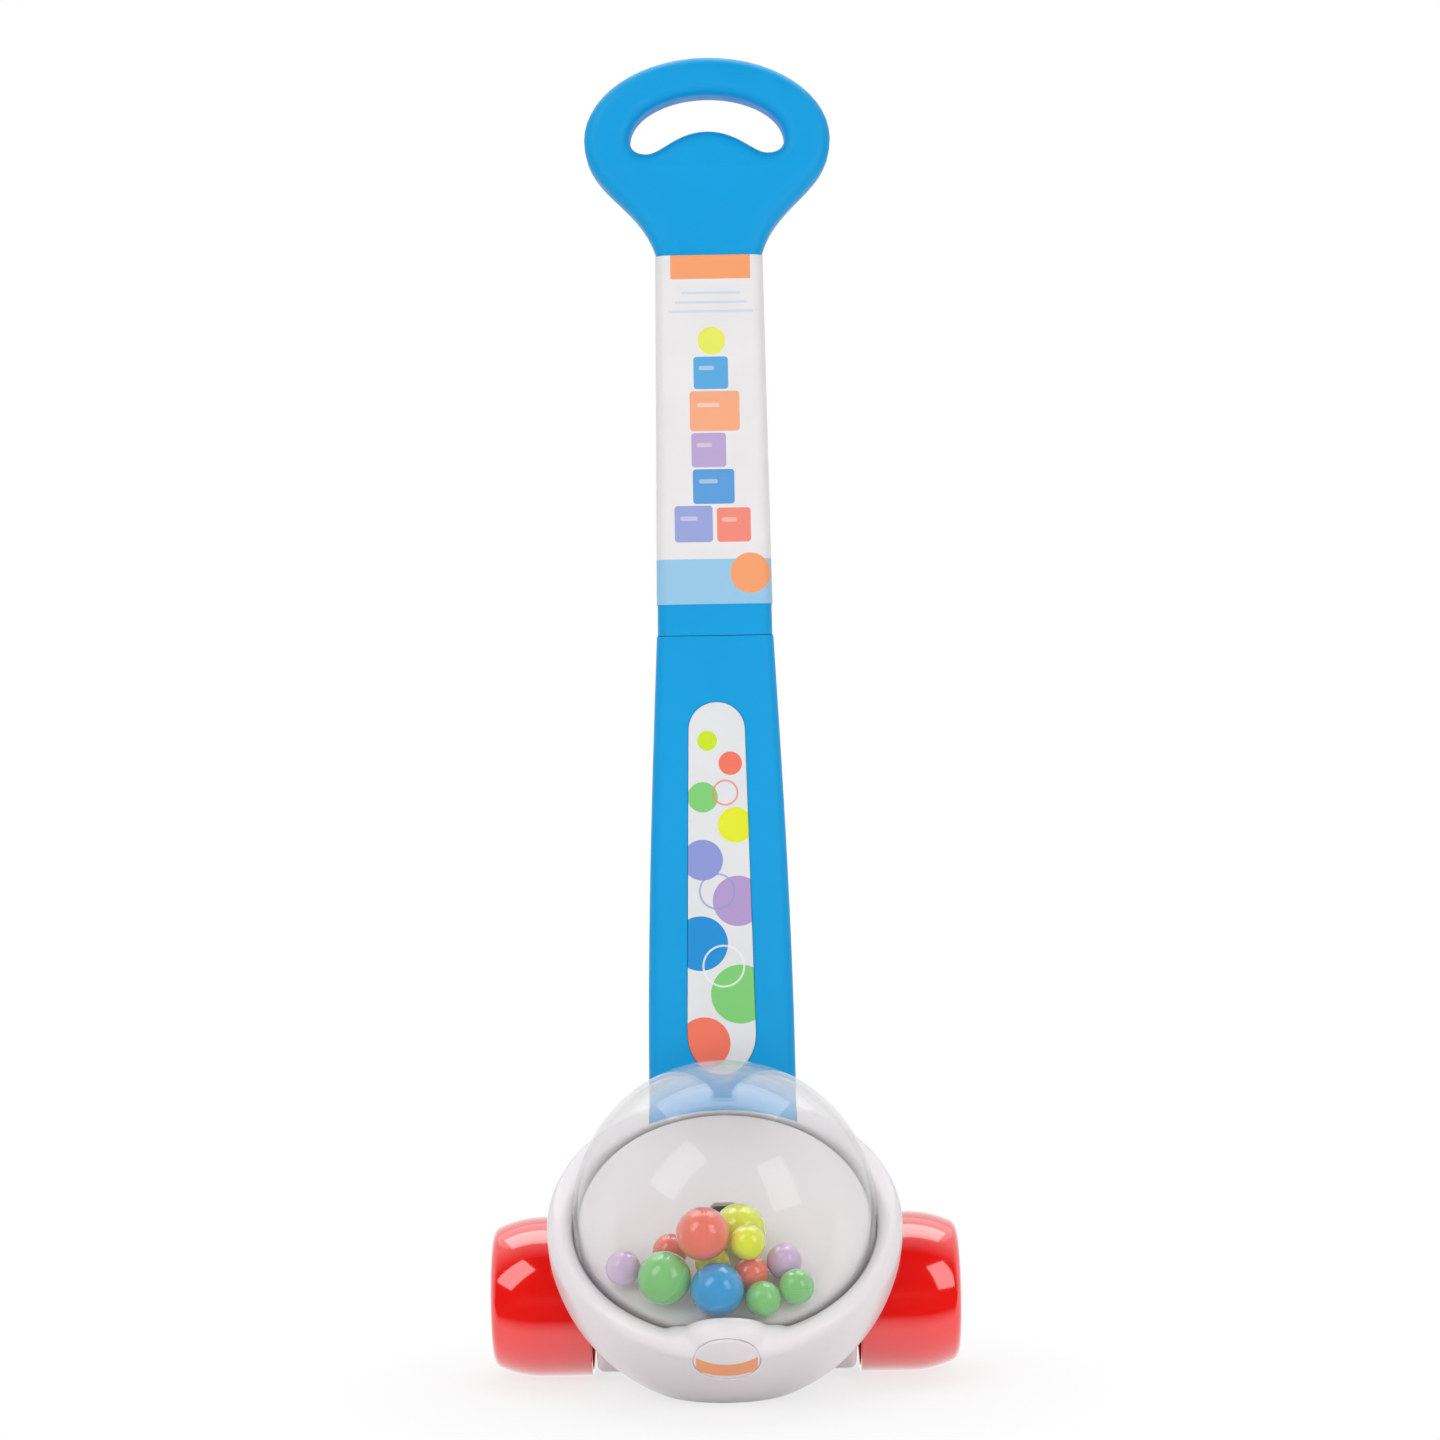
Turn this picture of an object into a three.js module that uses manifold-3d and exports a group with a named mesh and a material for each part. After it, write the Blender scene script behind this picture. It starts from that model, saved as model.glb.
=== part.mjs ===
// A toddler's push toy with balls that pop under a clear dome, standing upright.
// Millimetres, +Z up, the front towards -Y. It stands on its two wheels and on a flat of its bowl.
// The base is built in its own frame: the dome's axis is +Z there, and the frame is then tipped forward.

import * as THREE from 'three';
import { mergeVertices } from 'three/addons/utils/BufferGeometryUtils.js';
import Module from 'manifold-3d';

const wasm = await Module();
wasm.setup();

// Fits, shared by all pieces
const gap = 0.3; // between pieces that touch
const slip = 0.4; // round a piece that slides or drops into another
const overrun = 6; // how far a cutting body runs past the face that it opens
const tilt = THREE.MathUtils.degToRad(39); // of the dome's axis, forward from upright

// Bowl
const bowlRadius = 79;
const standingSink = 5.4; // of the bowl's round bottom below the floor, cut flat there
const bowlWall = 2.4;
const lipRadius = 5.7; // of the round lip along the mouth
const lipRise = 1;
const bottomCut = 9; // from the bowl's round bottom to the flat underside
const coverThickness = 2.7;

// Dome
const domeWall = 2;
const domeRise = 8; // of the dome's centre above the mouth
const skirtDepth = 6; // below the mouth

// Floor under the balls
const floorTop = 4.5;
const floorDish = 1.5;
const floorThickness = 2.4;
const floorRimWidth = 3;
const ledgeThickness = 2.6;
const ledgeWidth = 9;
const slotHalfWidth = 6.4;
const slotFront = 6.6;
const slotBack = 10.4;

// Wheels and axle
const wheelRadius = 36;
const wheelWidth = 47;
const wheelGap = 2.3; // between the housing and the wheel
const wheelWall = 2.6;
const wheelShoulder = 4.5; // that the tread falls away by towards the outer side
const wheelFillet = 5;
const wheelCrown = 0.9;
const treadSteps = 4;
const faceDip = 0.3; // of the outer side between its edge and the cap
const hubRadius = 7.5;
const hubRecess = 3;
const treadShare = 0.94; // of a quarter circle, over which the tread falls away
const dipShare = 0.6; // of the outer side's radius, where it dips most
const ribCount = 6;
const ribThickness = 2;
const axleRadius = 3;
const axleBehind = 44; // behind the middle of the bowl
const archClearance = 2;
const capRadius = 6.5;
const capHeight = 3.4;
const capWall = 1.4;

// Axle housing, the block of the bowl between the wheels
const housingInset = 20.8; // of its sides from the bowl's widest place
const housingFront = 26;
const housingBack = 48;
const housingHeight = 48; // of its top above the flat underside
const housingFrontTop = 40;
const housingRound = 6;
const housingBevel = 3;
const bushWall = 2.2;
const bushFlange = 2.4;
const bushFlangeThickness = 1.2;

// Handle
const handleInset = 17.5; // of its front from the bowl's rearmost place
const handleThickness = 24;
const handleWall = 1.8;
const handleBevel = 6;
const handleSink = 1.6; // of its foot below the bowl's mouth
const footHalfWidth = 34;
const seamHeight = 338; // above the floor
const seamHalfWidth = 26.9;
const seamSag = 1.4;
const seamStep = 0.4;
const neckLength = 175; // from the seam to where the grip begins
const neckHalfWidth = 24.1;
const tongueLength = 38;
const tongueWall = 1.6;
const lugHeight = 8;
const lugWidth = 12;

// Grip at the top of the handle
const gripHalfWidth = 56.4;
const gripClimb = 53; // from the neck to the widest place
const gripRise = 38;
const flankDrop = 25; // of the handles of the curve from the grip down to the neck
const waistDrop = 30;
const neckTuck = 1.4;
const gripSide = 20.7; // width of the bars beside the finger hole
const gripBar = 18.6; // height of the bar above it
const holeDrop = 7.3; // of the hole's lobes below the widest place
const holeBump = 3.2; // of the web between the lobes above the widest place
const holeShares = [0.78, 0.88, 0.6, 0.4]; // of its half width: lobe, outer, inner and crest handles
const sideShare = 0.7; // of the lobes' drop, for the handles at the hole's sides

// Label strip and card sleeve on the handle
const labelLift = 41; // of the lower arc's middle above the socket
const labelDrop = 40.5; // of the upper arc's middle below the seam
const labelBottomHalfWidth = 15.8;
const labelTopHalfWidth = 13;
const labelBottomArc = 19;
const labelTopArc = 8.3;
const labelRecess = 0.8;
const labelThickness = 0.5;
const sleeveLift = 13; // of its lower edge above the seam
const sleeveDrop = 1; // of its upper edge below the neck
const cardThickness = 0.6;

// Socket of the bowl that holds the handle
const socketDepth = 40;
const socketWall = 3;
const buttressDrop = 20; // of its foot on the bowl below the handle's
const socketBevel = 7;

// Tab of the rim over the front of the dome, and the oval plate on it
const tabHalfWidth = 21;
const tabHeight = 14;
const tabDepth = 10.5;
const tabSpread = 33;
const tabSpreadHeight = 8.5;
const badgeHalfWidth = 14.7;
const badgeHalfHeight = 11.2;
const badgeMiddle = -2.6;
const badgeThickness = 1.5;
const badgeSink = 3.4; // of the pocket's floor from the bowl's front
const badgeBevel = 0.5;

// Gear train between the axle and the cam
const gearModule = 1;
const pinionTeeth = 14;
const gearTeeth = 28;
const addendumShare = 0.85;
const dedendumShare = 1.05;
const backlash = 0.35;
const pressureAngle = THREE.MathUtils.degToRad(20);
const gearInside = 7; // from the middle of the toy to the gears
const pinionWidth = 7;
const gearWidth = 5;
const gearWeb = 2;
const layRadius = 2;
const camLobes = 4;
const camTip = 11;
const camRoot = 6.2;
const camHalfWidth = 3.5;

// Gearbox plates and what holds them
const plateInside = 16;
const plateThickness = 2.4;
const plateReach = 24.5; // in front of the axle
const plateMargin = 4; // behind the striker's pin
const plateCrest = 7; // above the striker's pin
const plateShoulder = 28; // length of the top edge
const plateNose = 14; // of the front edge's top above the lay shaft
const plateScrewInset = 7;
const plateRound = 5;
const plateFootWidth = 9;
const pillarRadius = 3;
const pillarBore = 1.2;

// Striker
const strikerReach = 36; // from the pin to the head
const pinLift = 8.4; // of the pin above the lever's underside
const strikerPinRadius = 2;
const leverHalfWidth = 3.5;
const leverThickness = 4.2;
const leverHubRadius = 5;
const leverClearance = 0.5; // over the cam's tips
const headRadius = 5;
const headSink = 1.4; // of the head below the floor's middle
const headHeight = 6;
const postHalfWidth = 3;
const springWire = 0.9;
const springTurns = 4;
const springPitch = 1.5;

// Screws
const screwRadius = 1.5;
const screwHeadRadius = 3;
const screwHeadHeight = 1.8;
const screwHole = screwRadius + gap;
const bossRadius = 5;
const bossHeight = 16;
const coverScrewFront = -14;
const coverScrewBack = 36;
const floorScrewCount = 3;

// Balls, as shares of the dome's inner radius, so that the pile fits the dome
const largeShare = 0.178;
const smallShare = 0.118;

// Values that follow from those above
const bowlHeight = bowlRadius - standingSink; // of the middle of its mouth above the floor
const bottomDepth = bowlRadius - bottomCut;
const lipMiddle = bowlRadius - lipRadius;
const mouthRadius = bowlRadius - 2 * lipRadius;
const domeRadius = mouthRadius - slip;
const domeInner = domeRadius - domeWall;
const ledgeTop = -skirtDepth - gap;
const ledgeBottom = ledgeTop - ledgeThickness;
const floorRadius = domeInner - slip;
const floorMiddle = floorTop - floorDish;
const coverTop = coverThickness - bottomDepth;
const housingHalfWidth = bowlRadius - housingInset;
const coverScrewAcross = housingHalfWidth - bowlWall / 2 - bossRadius;
const shellBottom = coverTop + gap;
const axleBack = axleBehind * Math.cos(tilt) - (bowlHeight - wheelRadius) * Math.sin(tilt);
const axleDepth = -axleBehind * Math.sin(tilt) - (bowlHeight - wheelRadius) * Math.cos(tilt);
const wheelInside = housingHalfWidth + wheelGap;
const wheelOutside = wheelInside + wheelWidth;
const gearSpread = gearModule * (pinionTeeth + gearTeeth) / 2;
const layDepth = axleDepth + gearSpread;
const leverBottom = layDepth + camTip + leverClearance;
const strikerPinHeight = leverBottom + pinLift;
const plateFront = axleBack - plateReach;
const plateBack = strikerReach + plateMargin;
const gearTipRadius = gearModule * (gearTeeth / 2 + addendumShare);
const handleFront = bowlRadius - handleInset; // behind the middle of the bowl
const handleFoot = bowlHeight - handleSink;
const handleMiddle = handleFront + handleThickness / 2;
const handleBack = handleFront + handleThickness;
const neckHeight = seamHeight + neckLength;
const gripMiddle = neckHeight + gripClimb;
const gripTop = gripMiddle + gripRise;
const socketTop = handleFoot + socketDepth;
const socketDrop = handleFoot - buttressDrop;
const labelBottom = socketTop + labelLift;
const labelTop = seamHeight - labelDrop;
const sleeveBottom = seamHeight + sleeveLift;
const sleeveTop = neckHeight - sleeveDrop;
const tongueFoot = seamHeight - tongueLength;
const holeHalfWidth = gripHalfWidth - gripSide;
const plateOutside = plateInside + plateThickness;
const badgeSeat = bowlRadius - badgeSink; // in front of the dome's axis
const largeBall = largeShare * domeInner;
const smallBall = smallShare * domeInner;

// Finishes
const finish = (color, roughness, metalness = 0) =>
  new THREE.MeshStandardMaterial({ color, roughness, metalness });
const white = finish(0xebe6e8, 0.35);
const blue = finish(0x00a2e0, 0.42);
const red = finish(0xf01a10, 0.15);
const card = finish(0xeeedec, 0.7);
const label = finish(0xe5e9e7, 0.5);
const steel = finish(0xb9bcc0, 0.3, 1);
const grey = finish(0x9a9da2, 0.45);
const clear = finish(0xe9eef0, 0.05);
clear.transparent = true;
clear.opacity = 0.35;
const ballFinishes = {
  coral: finish(0xf3826a, 0.2),
  yellow: finish(0xf1f636, 0.2),
  green: finish(0x8fd389, 0.2),
  blue: finish(0x1f98dc, 0.2),
  purple: finish(0xd3b2dc, 0.2),
};

// Solids from closed geometries and back

function solidOf(geometry) {
  const bare = geometry.clone();
  bare.deleteAttribute('normal');
  bare.deleteAttribute('uv');
  const merged = mergeVertices(bare);
  const corners = merged.index.array;
  const triangles = [];
  for (let i = 0; i < corners.length; i += 3) {
    const [a, b, c] = [corners[i], corners[i + 1], corners[i + 2]];
    if (a !== b && b !== c && c !== a) triangles.push(a, b, c);
  }
  return new wasm.Manifold(new wasm.Mesh({
    numProp: 3,
    vertProperties: merged.attributes.position.array,
    triVerts: new Uint32Array(triangles),
  }));
}

function geometryOf(solid) {
  const mesh = solid.getMesh();
  const geometry = new THREE.BufferGeometry();
  const places = new Float32Array(mesh.vertProperties);
  geometry.setAttribute('position', new THREE.BufferAttribute(places, 3));
  geometry.setIndex(new THREE.BufferAttribute(new Uint32Array(mesh.triVerts), 1));
  const flat = geometry.toNonIndexed();
  flat.computeVertexNormals();
  return flat;
}

// Shapes that several pieces use

function arcPoints(acrossCentre, upCentre, radius, from, to, steps) {
  return Array.from({ length: steps + 1 }, (_, i) => {
    const angle = THREE.MathUtils.degToRad(from + (to - from) * i / steps);
    return [acrossCentre + radius * Math.cos(angle), upCentre + radius * Math.sin(angle)];
  });
}

// A profile of [radius, height] points turned round +Z, from the bottom outwards and back to the top.
function turned(profile, sides) {
  const points = profile.map(([radius, height]) => new THREE.Vector2(Math.max(radius, 0), height));
  return new THREE.LatheGeometry(points, sides).rotateX(Math.PI / 2);
}

function rod(radius, length, sides = 20) {
  return new THREE.CylinderGeometry(radius, radius, length, sides).rotateX(Math.PI / 2);
}

// A plate in the XY plane, centred on Z, with its edges rounded, and drawn in by inset on every side.
function slab(shape, thickness, bevel, inset = 0, curveSegments = 6) {
  const edge = bevel - inset;
  return new THREE.ExtrudeGeometry(shape, {
    depth: thickness - 2 * bevel,
    bevelThickness: edge,
    bevelSize: edge,
    bevelOffset: -bevel,
    bevelSegments: 2,
    curveSegments,
  }).translate(0, 0, bevel - thickness / 2);
}

// A square-edged plate in the XY plane, centred on Z.
function plate(shape, thickness, curveSegments = 6) {
  return new THREE.ExtrudeGeometry(shape, { depth: thickness, bevelEnabled: false, curveSegments })
    .translate(0, 0, -thickness / 2);
}

// Turns a plate so that its outline lies in XZ and its thickness along Y.
const upright = (geometry) => geometry.rotateX(Math.PI / 2);

// Turns a plate so that its outline lies in YZ and its thickness along X.
const sideways = (geometry) => geometry.rotateX(Math.PI / 2).rotateZ(Math.PI / 2);

// An outline with its corners rounded.
function rounded(corners, radius, Kind = THREE.Shape) {
  const outline = new Kind();
  corners.forEach(([x, y], i) => {
    const here = new THREE.Vector2(x, y);
    const before = new THREE.Vector2(...corners.at(i - 1));
    const after = new THREE.Vector2(...corners[(i + 1) % corners.length]);
    const start = here.clone().add(before.sub(here).setLength(radius));
    const end = here.clone().add(after.sub(here).setLength(radius));
    if (i === 0) outline.moveTo(start.x, start.y);
    else outline.lineTo(start.x, start.y);
    outline.quadraticCurveTo(x, y, end.x, end.y);
  });
  outline.closePath();
  return outline;
}

function block(x0, x1, y0, y1, z0, z1) {
  return new THREE.BoxGeometry(x1 - x0, y1 - y0, z1 - z0)
    .translate((x0 + x1) / 2, (y0 + y1) / 2, (z0 + z1) / 2);
}

// From the upright frame, with the floor at zero, into the tipped frame of the base.
const intoBase = (geometry) => geometry.translate(0, 0, -bowlHeight).rotateX(-tilt);

// Bowl

function bowlBody() {
  return solidOf(turned([
    ...arcPoints(0, 0, bowlRadius, -90, 0, 12),
    ...arcPoints(lipMiddle, lipRise, lipRadius, 0, 180, 6),
    [mouthRadius, ledgeTop],
    [0, ledgeTop],
  ], 40));
}

function bowlHollow() {
  const radius = bowlRadius - bowlWall;
  const edge = THREE.MathUtils.radToDeg(Math.asin(ledgeBottom / radius));
  return solidOf(turned([
    ...arcPoints(0, 0, radius, -90, edge, 7),
    [mouthRadius - ledgeWidth, ledgeBottom],
    [mouthRadius - ledgeWidth, ledgeTop + overrun],
    [0, ledgeTop + overrun],
  ], 32));
}

// The block between the wheels that carries the axle, drawn in by inset.
function housing(inset) {
  const outline = rounded([
    [-housingFront, -bottomDepth - (inset ? overrun : 0)],
    [housingBack, -bottomDepth - (inset ? overrun : 0)],
    [housingBack, housingHeight - bottomDepth],
    [-housingFrontTop, housingHeight - bottomDepth],
  ], housingRound);
  return solidOf(sideways(slab(outline, 2 * housingHalfWidth, housingBevel, inset, 3)));
}

// The buttress at the back that holds the handle, drawn in by inset.
function socketBlock(inset) {
  const wall = slip + socketWall;
  const outline = new THREE.Shape([
    new THREE.Vector2(handleFront - wall, handleFoot - gap - socketWall),
    new THREE.Vector2(bowlRadius - bowlWall, socketDrop),
    new THREE.Vector2(handleBack + wall, handleFoot),
    new THREE.Vector2(handleBack + wall, socketTop),
    new THREE.Vector2(handleFront - wall, socketTop),
  ]);
  const width = 2 * (footHalfWidth + wall);
  return solidOf(intoBase(sideways(slab(outline, width, socketBevel, inset))));
}

// The walls round the handle's foot, without the hollow for the handle.
function socketTube() {
  const wall = slip + socketWall;
  const height = socketTop - handleFoot + gap + socketWall;
  const half = footHalfWidth + wall;
  const outline = rounded([
    [-half, handleFront - wall],
    [half, handleFront - wall],
    [half, handleBack + wall],
    [-half, handleBack + wall],
  ], socketBevel);
  return solidOf(intoBase(plate(outline, height).translate(0, 0, socketTop - height / 2)));
}

function wheelArches(grow) {
  const side = (sign) => {
    const inside = housingHalfWidth - grow;
    const length = bowlRadius + overrun - inside;
    const drum = rod(wheelRadius + archClearance + grow, length, 40).rotateY(Math.PI / 2);
    return solidOf(drum.translate(sign * (inside + length / 2), axleBack, axleDepth));
  };
  return side(-1).add(side(1));
}

// Everything under the plane on which the toy stands, raised by rise.
function underground(rise) {
  const reach = 2 * bowlRadius;
  return solidOf(intoBase(block(-reach, reach, -reach, reach, -reach, rise)));
}

function tab() {
  const bump = (halfWidth, depth, height) =>
    solidOf(new THREE.SphereGeometry(1, 20, 12)
      .scale(halfWidth, depth, height)
      .translate(0, depth - bowlRadius, lipRise));
  return bump(tabHalfWidth, tabDepth, tabHeight).add(bump(tabSpread, tabDepth, tabSpreadHeight));
}

function domeRoom() {
  const radius = mouthRadius;
  return solidOf(turned([
    [0, ledgeTop],
    [radius, ledgeTop],
    ...arcPoints(0, domeRise, radius, 0, 90, 6),
  ], 40));
}

function badgeOutline(grow) {
  const outline = new THREE.Shape();
  outline.absellipse(0, 0, badgeHalfWidth + grow, badgeHalfHeight + grow, 0, 2 * Math.PI);
  return outline;
}

function badgePocket() {
  const depth = bowlRadius + overrun - badgeSeat;
  const cutter = upright(plate(badgeOutline(gap), depth, 10));
  return solidOf(cutter.translate(0, -badgeSeat - depth / 2, badgeMiddle));
}

const coverScrewPlaces = [-1, 1].flatMap((side) =>
  [coverScrewFront, coverScrewBack].map((back) => [side * coverScrewAcross, back]));

const floorScrewPlaces = Array.from({ length: floorScrewCount }, (_, i) => {
  const angle = 2 * Math.PI * (i + 1 / 2) / floorScrewCount - Math.PI / 2;
  const reach = mouthRadius - ledgeWidth + screwHeadRadius + gap;
  return [reach * Math.cos(angle), reach * Math.sin(angle)];
});

function bosses() {
  return coverScrewPlaces.map(([x, y]) =>
    solidOf(rod(bossRadius, bossHeight, 12).translate(x, y, shellBottom + bossHeight / 2)));
}

function screwHoles(places, radius, low, high) {
  return places.map(([x, y]) =>
    solidOf(rod(radius, high - low, 10).translate(x, y, (low + high) / 2)));
}

function bushHoles() {
  const length = 2 * (housingHalfWidth + overrun);
  const hole = rod(axleRadius + gap + bushWall + gap, length).rotateY(Math.PI / 2);
  return solidOf(hole.translate(0, axleBack, axleDepth));
}

// The hollow for the handle, a little larger than its foot.
function handleRoom() {
  const high = bowlHeight + bowlRadius;
  const half = footHalfWidth + slip;
  const outline = rounded([
    [-half, handleFront - slip],
    [half, handleFront - slip],
    [half, handleBack + slip],
    [-half, handleBack + slip],
  ], handleBevel);
  const height = high - handleFoot + gap;
  return solidOf(intoBase(plate(outline, height).translate(0, 0, high - height / 2)));
}

function handleScrewHole() {
  const outside = handleBack + slip + socketWall;
  const bore = (radius, from) => {
    const length = outside + overrun - from;
    const hole = upright(rod(radius, length, 12)).translate(0, from + length / 2, handleScrewHeight);
    return solidOf(intoBase(hole));
  };
  return bore(screwHole, handleBack).add(bore(screwHeadRadius + gap, outside - screwHeadHeight));
}

const outerBowl = bowlBody()
  .add(housing(0))
  .add(socketBlock(0))
  .add(tab())
  .subtract(wheelArches(0))
  .subtract(underground(0));

const handleScrewHeight = (handleFoot + socketTop) / 2;

function baseShell() {
  const inside = bowlHollow()
    .add(housing(bowlWall))
    .add(socketBlock(bowlWall))
    .subtract(wheelArches(bowlWall))
    .subtract(underground(bowlWall))
    .subtract(socketTube());
  const reach = 2 * bowlRadius;
  const below = solidOf(block(-reach, reach, -reach, reach, -reach, shellBottom));
  let shell = outerBowl.subtract(inside);
  for (const boss of bosses()) shell = shell.add(boss);
  shell = shell.subtract(domeRoom()).subtract(badgePocket());
  shell = shell.subtract(bushHoles()).subtract(handleRoom()).subtract(handleScrewHole());
  for (const hole of screwHoles(coverScrewPlaces, screwHole, shellBottom - overrun, bossTopInside)) {
    shell = shell.subtract(hole);
  }
  for (const hole of screwHoles(floorScrewPlaces, screwHole, ledgeBottom - overrun, ledgeTop + overrun)) {
    shell = shell.subtract(hole);
  }
  return shell.subtract(below);
}

const bossTopInside = shellBottom + bossHeight - bowlWall;

function bottomCover() {
  const reach = 2 * bowlRadius;
  const layer = solidOf(block(-reach, reach, -reach, reach, -bottomDepth, coverTop));
  let cover = outerBowl.intersect(layer);
  const holes = screwHoles(allCoverScrews, screwHole, -bottomDepth - overrun, coverTop + overrun);
  const sinks = screwHoles(allCoverScrews, screwHeadRadius + gap, -bottomDepth - overrun, screwSeat);
  for (const hole of [...holes, ...sinks]) cover = cover.subtract(hole);
  return cover;
}

const screwSeat = screwHeadHeight - bottomDepth;
const plateScrewAcross = plateOutside + plateFootWidth / 2;
const plateScrewPlaces = [-1, 1].flatMap((side) =>
  [plateFront + plateScrewInset, plateBack - plateScrewInset].map((back) => [side * plateScrewAcross, back]));
const allCoverScrews = [...coverScrewPlaces, ...plateScrewPlaces];

// A screw pointing up, its head's underside at height zero.
function screw(length) {
  return turned([
    [0, -screwHeadHeight],
    [screwHeadRadius, -screwHeadHeight],
    [screwHeadRadius, 0],
    [screwRadius, 0],
    [screwRadius, length],
    [0, length],
  ], 10);
}

// The screw in the socket's back wall, pointing forward into the handle's foot.
function handleScrew() {
  const seat = handleBack + slip + socketWall - screwHeadHeight + gap;
  const length = socketWall + slip + handleWall + screwHeadHeight;
  return screw(length).rotateX(Math.PI / 2).translate(0, seat, handleScrewHeight);
}

// Dome and the floor under it

function dome() {
  const inner = domeInner;
  return turned([
    ...arcPoints(0, domeRise, inner, 90, 0, 8),
    [inner, -skirtDepth],
    [domeRadius, -skirtDepth],
    ...arcPoints(0, domeRise, domeRadius, 0, 90, 8),
  ], 40);
}

function domeFloor() {
  const rimInner = floorRadius - floorRimWidth;
  const plain = solidOf(turned([
    [0, floorMiddle - floorThickness],
    [rimInner, floorTop - floorThickness],
    [rimInner, -skirtDepth],
    [floorRadius, -skirtDepth],
    [floorRadius, floorTop],
    [0, floorMiddle],
  ], 40));
  const slot = rounded([
    [-slotHalfWidth, -slotFront],
    [slotHalfWidth, -slotFront],
    [slotHalfWidth, slotBack],
    [-slotHalfWidth, slotBack],
  ], slotHalfWidth / 2);
  let floor = plain.subtract(solidOf(plate(slot, 2 * overrun + floorThickness, 3)));
  const posts = floorScrewPlaces.map(([x, y]) => {
    const height = floorTop - floorThickness / 2 + skirtDepth;
    return solidOf(rod(screwHeadRadius, height, 14).translate(x, y, height / 2 - skirtDepth));
  });
  for (const post of posts) floor = floor.add(post);
  for (const hole of screwHoles(floorScrewPlaces, screwHole, -skirtDepth - overrun, 0)) {
    floor = floor.subtract(hole);
  }
  return floor;
}

// Wheels and what turns with them

function wheelProfile() {
  const w = wheelWidth;
  const shoulder = wheelRadius - wheelShoulder;
  const start = w / 2;
  const tread = Array.from({ length: treadSteps + 1 }, (_, i) => {
    const share = i / treadSteps;
    const fall = wheelShoulder * (1 - Math.sqrt(1 - (share * treadShare) ** 2));
    return [wheelRadius - fall, start + share * (w - wheelFillet - start)];
  });
  const last = tread.at(-1);
  const face = arcPoints(last[0] - wheelFillet, w - wheelFillet, wheelFillet, 0, 90, 3).slice(1);
  const faceRadius = shoulder - wheelFillet;
  const ceiling = w - wheelWall;
  return [
    [axleRadius + gap, hubRecess],
    [hubRadius, hubRecess],
    [hubRadius, ceiling - wheelCrown],
    [last[0] - 2 * wheelWall, ceiling - wheelCrown],
    [wheelRadius - wheelWall, start],
    [wheelRadius - wheelWall, 0],
    [wheelRadius, 0],
    ...tread,
    ...face,
    [faceRadius * dipShare, w - faceDip],
    [axleRadius + gap, w],
    [axleRadius + gap, hubRecess],
  ];
}

function wheel(sign) {
  let solid = solidOf(turned(wheelProfile(), 36));
  const high = wheelWidth - wheelWall;
  const low = wheelWidth / 2;
  for (let i = 0; i < ribCount; i += 1) {
    const inner = (axleRadius + gap + hubRadius) / 2;
    const outer = wheelRadius - wheelWall - wheelShoulder;
    const rib = block(inner, outer, -ribThickness / 2, ribThickness / 2, low, high);
    solid = solid.add(solidOf(rib.rotateZ(2 * Math.PI * i / ribCount)));
  }
  const geometry = geometryOf(solid).rotateY(sign * Math.PI / 2);
  return geometry.translate(sign * wheelInside, 0, 0);
}

const axleHalfLength = wheelOutside + capHeight - capWall - gap;

function axle() {
  return rod(axleRadius, 2 * axleHalfLength, 20).rotateY(Math.PI / 2);
}

// A push-on cap over the end of the axle.
function axleCap(sign) {
  const bore = axleRadius + gap;
  const cap = turned([
    [bore, 0],
    [capRadius, 0],
    ...arcPoints(capRadius - capWall, capHeight - capWall, capWall, 0, 90, 3),
    [0, capHeight],
    [0, capHeight - capWall],
    [bore, capHeight - capWall],
    [bore, 0],
  ], 16);
  return cap.rotateY(sign * Math.PI / 2).translate(sign * (wheelOutside + gap), 0, 0);
}

function axleBush(sign) {
  const bore = axleRadius + gap;
  const body = bore + bushWall;
  const outside = housingHalfWidth + gap + bushFlangeThickness;
  const inside = housingHalfWidth - bowlWall - bushFlangeThickness;
  const bush = turned([
    [bore, inside],
    [body, inside],
    [body, housingHalfWidth + gap],
    [body + bushFlange, housingHalfWidth + gap],
    [body + bushFlange, outside],
    [bore, outside],
    [bore, inside],
  ], 16);
  return bush.rotateY(sign * Math.PI / 2).translate(0, axleBack, axleDepth);
}

// Gears: the flanks are involutes, with one tooth's middle on +Y of the outline

function gearOutline(teeth, bore) {
  const pitch = gearModule * teeth / 2;
  const base = pitch * Math.cos(pressureAngle);
  const tip = pitch + addendumShare * gearModule;
  const root = pitch - dedendumShare * gearModule;
  const involute = (radius) => {
    const angle = Math.acos(Math.min(1, base / radius));
    return Math.tan(angle) - angle;
  };
  const halfAt = (radius) => Math.PI / (2 * teeth) - backlash / (4 * pitch)
    + involute(pitch) - involute(Math.max(radius, base));
  const stations = [root, pitch, tip];
  const outline = new THREE.Shape();
  for (let tooth = 0; tooth < teeth; tooth += 1) {
    const middle = Math.PI / 2 + 2 * Math.PI * tooth / teeth;
    const rising = stations.map((radius) => [radius, middle - halfAt(radius)]);
    const falling = stations.map((radius) => [radius, middle + halfAt(radius)]).reverse();
    for (const [radius, angle] of [...rising, ...falling]) {
      const [x, y] = [radius * Math.cos(angle), radius * Math.sin(angle)];
      if (outline.curves.length === 0 && outline.currentPoint.length() === 0) outline.moveTo(x, y);
      else outline.lineTo(x, y);
    }
  }
  outline.closePath();
  const hole = new THREE.Path();
  hole.absarc(0, 0, bore, 0, 2 * Math.PI, true);
  outline.holes.push(hole);
  return outline;
}

function drivePinion() {
  const pinion = plate(gearOutline(pinionTeeth, axleRadius + gap), pinionWidth);
  return sideways(pinion).translate(gearInside + pinionWidth / 2, 0, 0);
}

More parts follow.
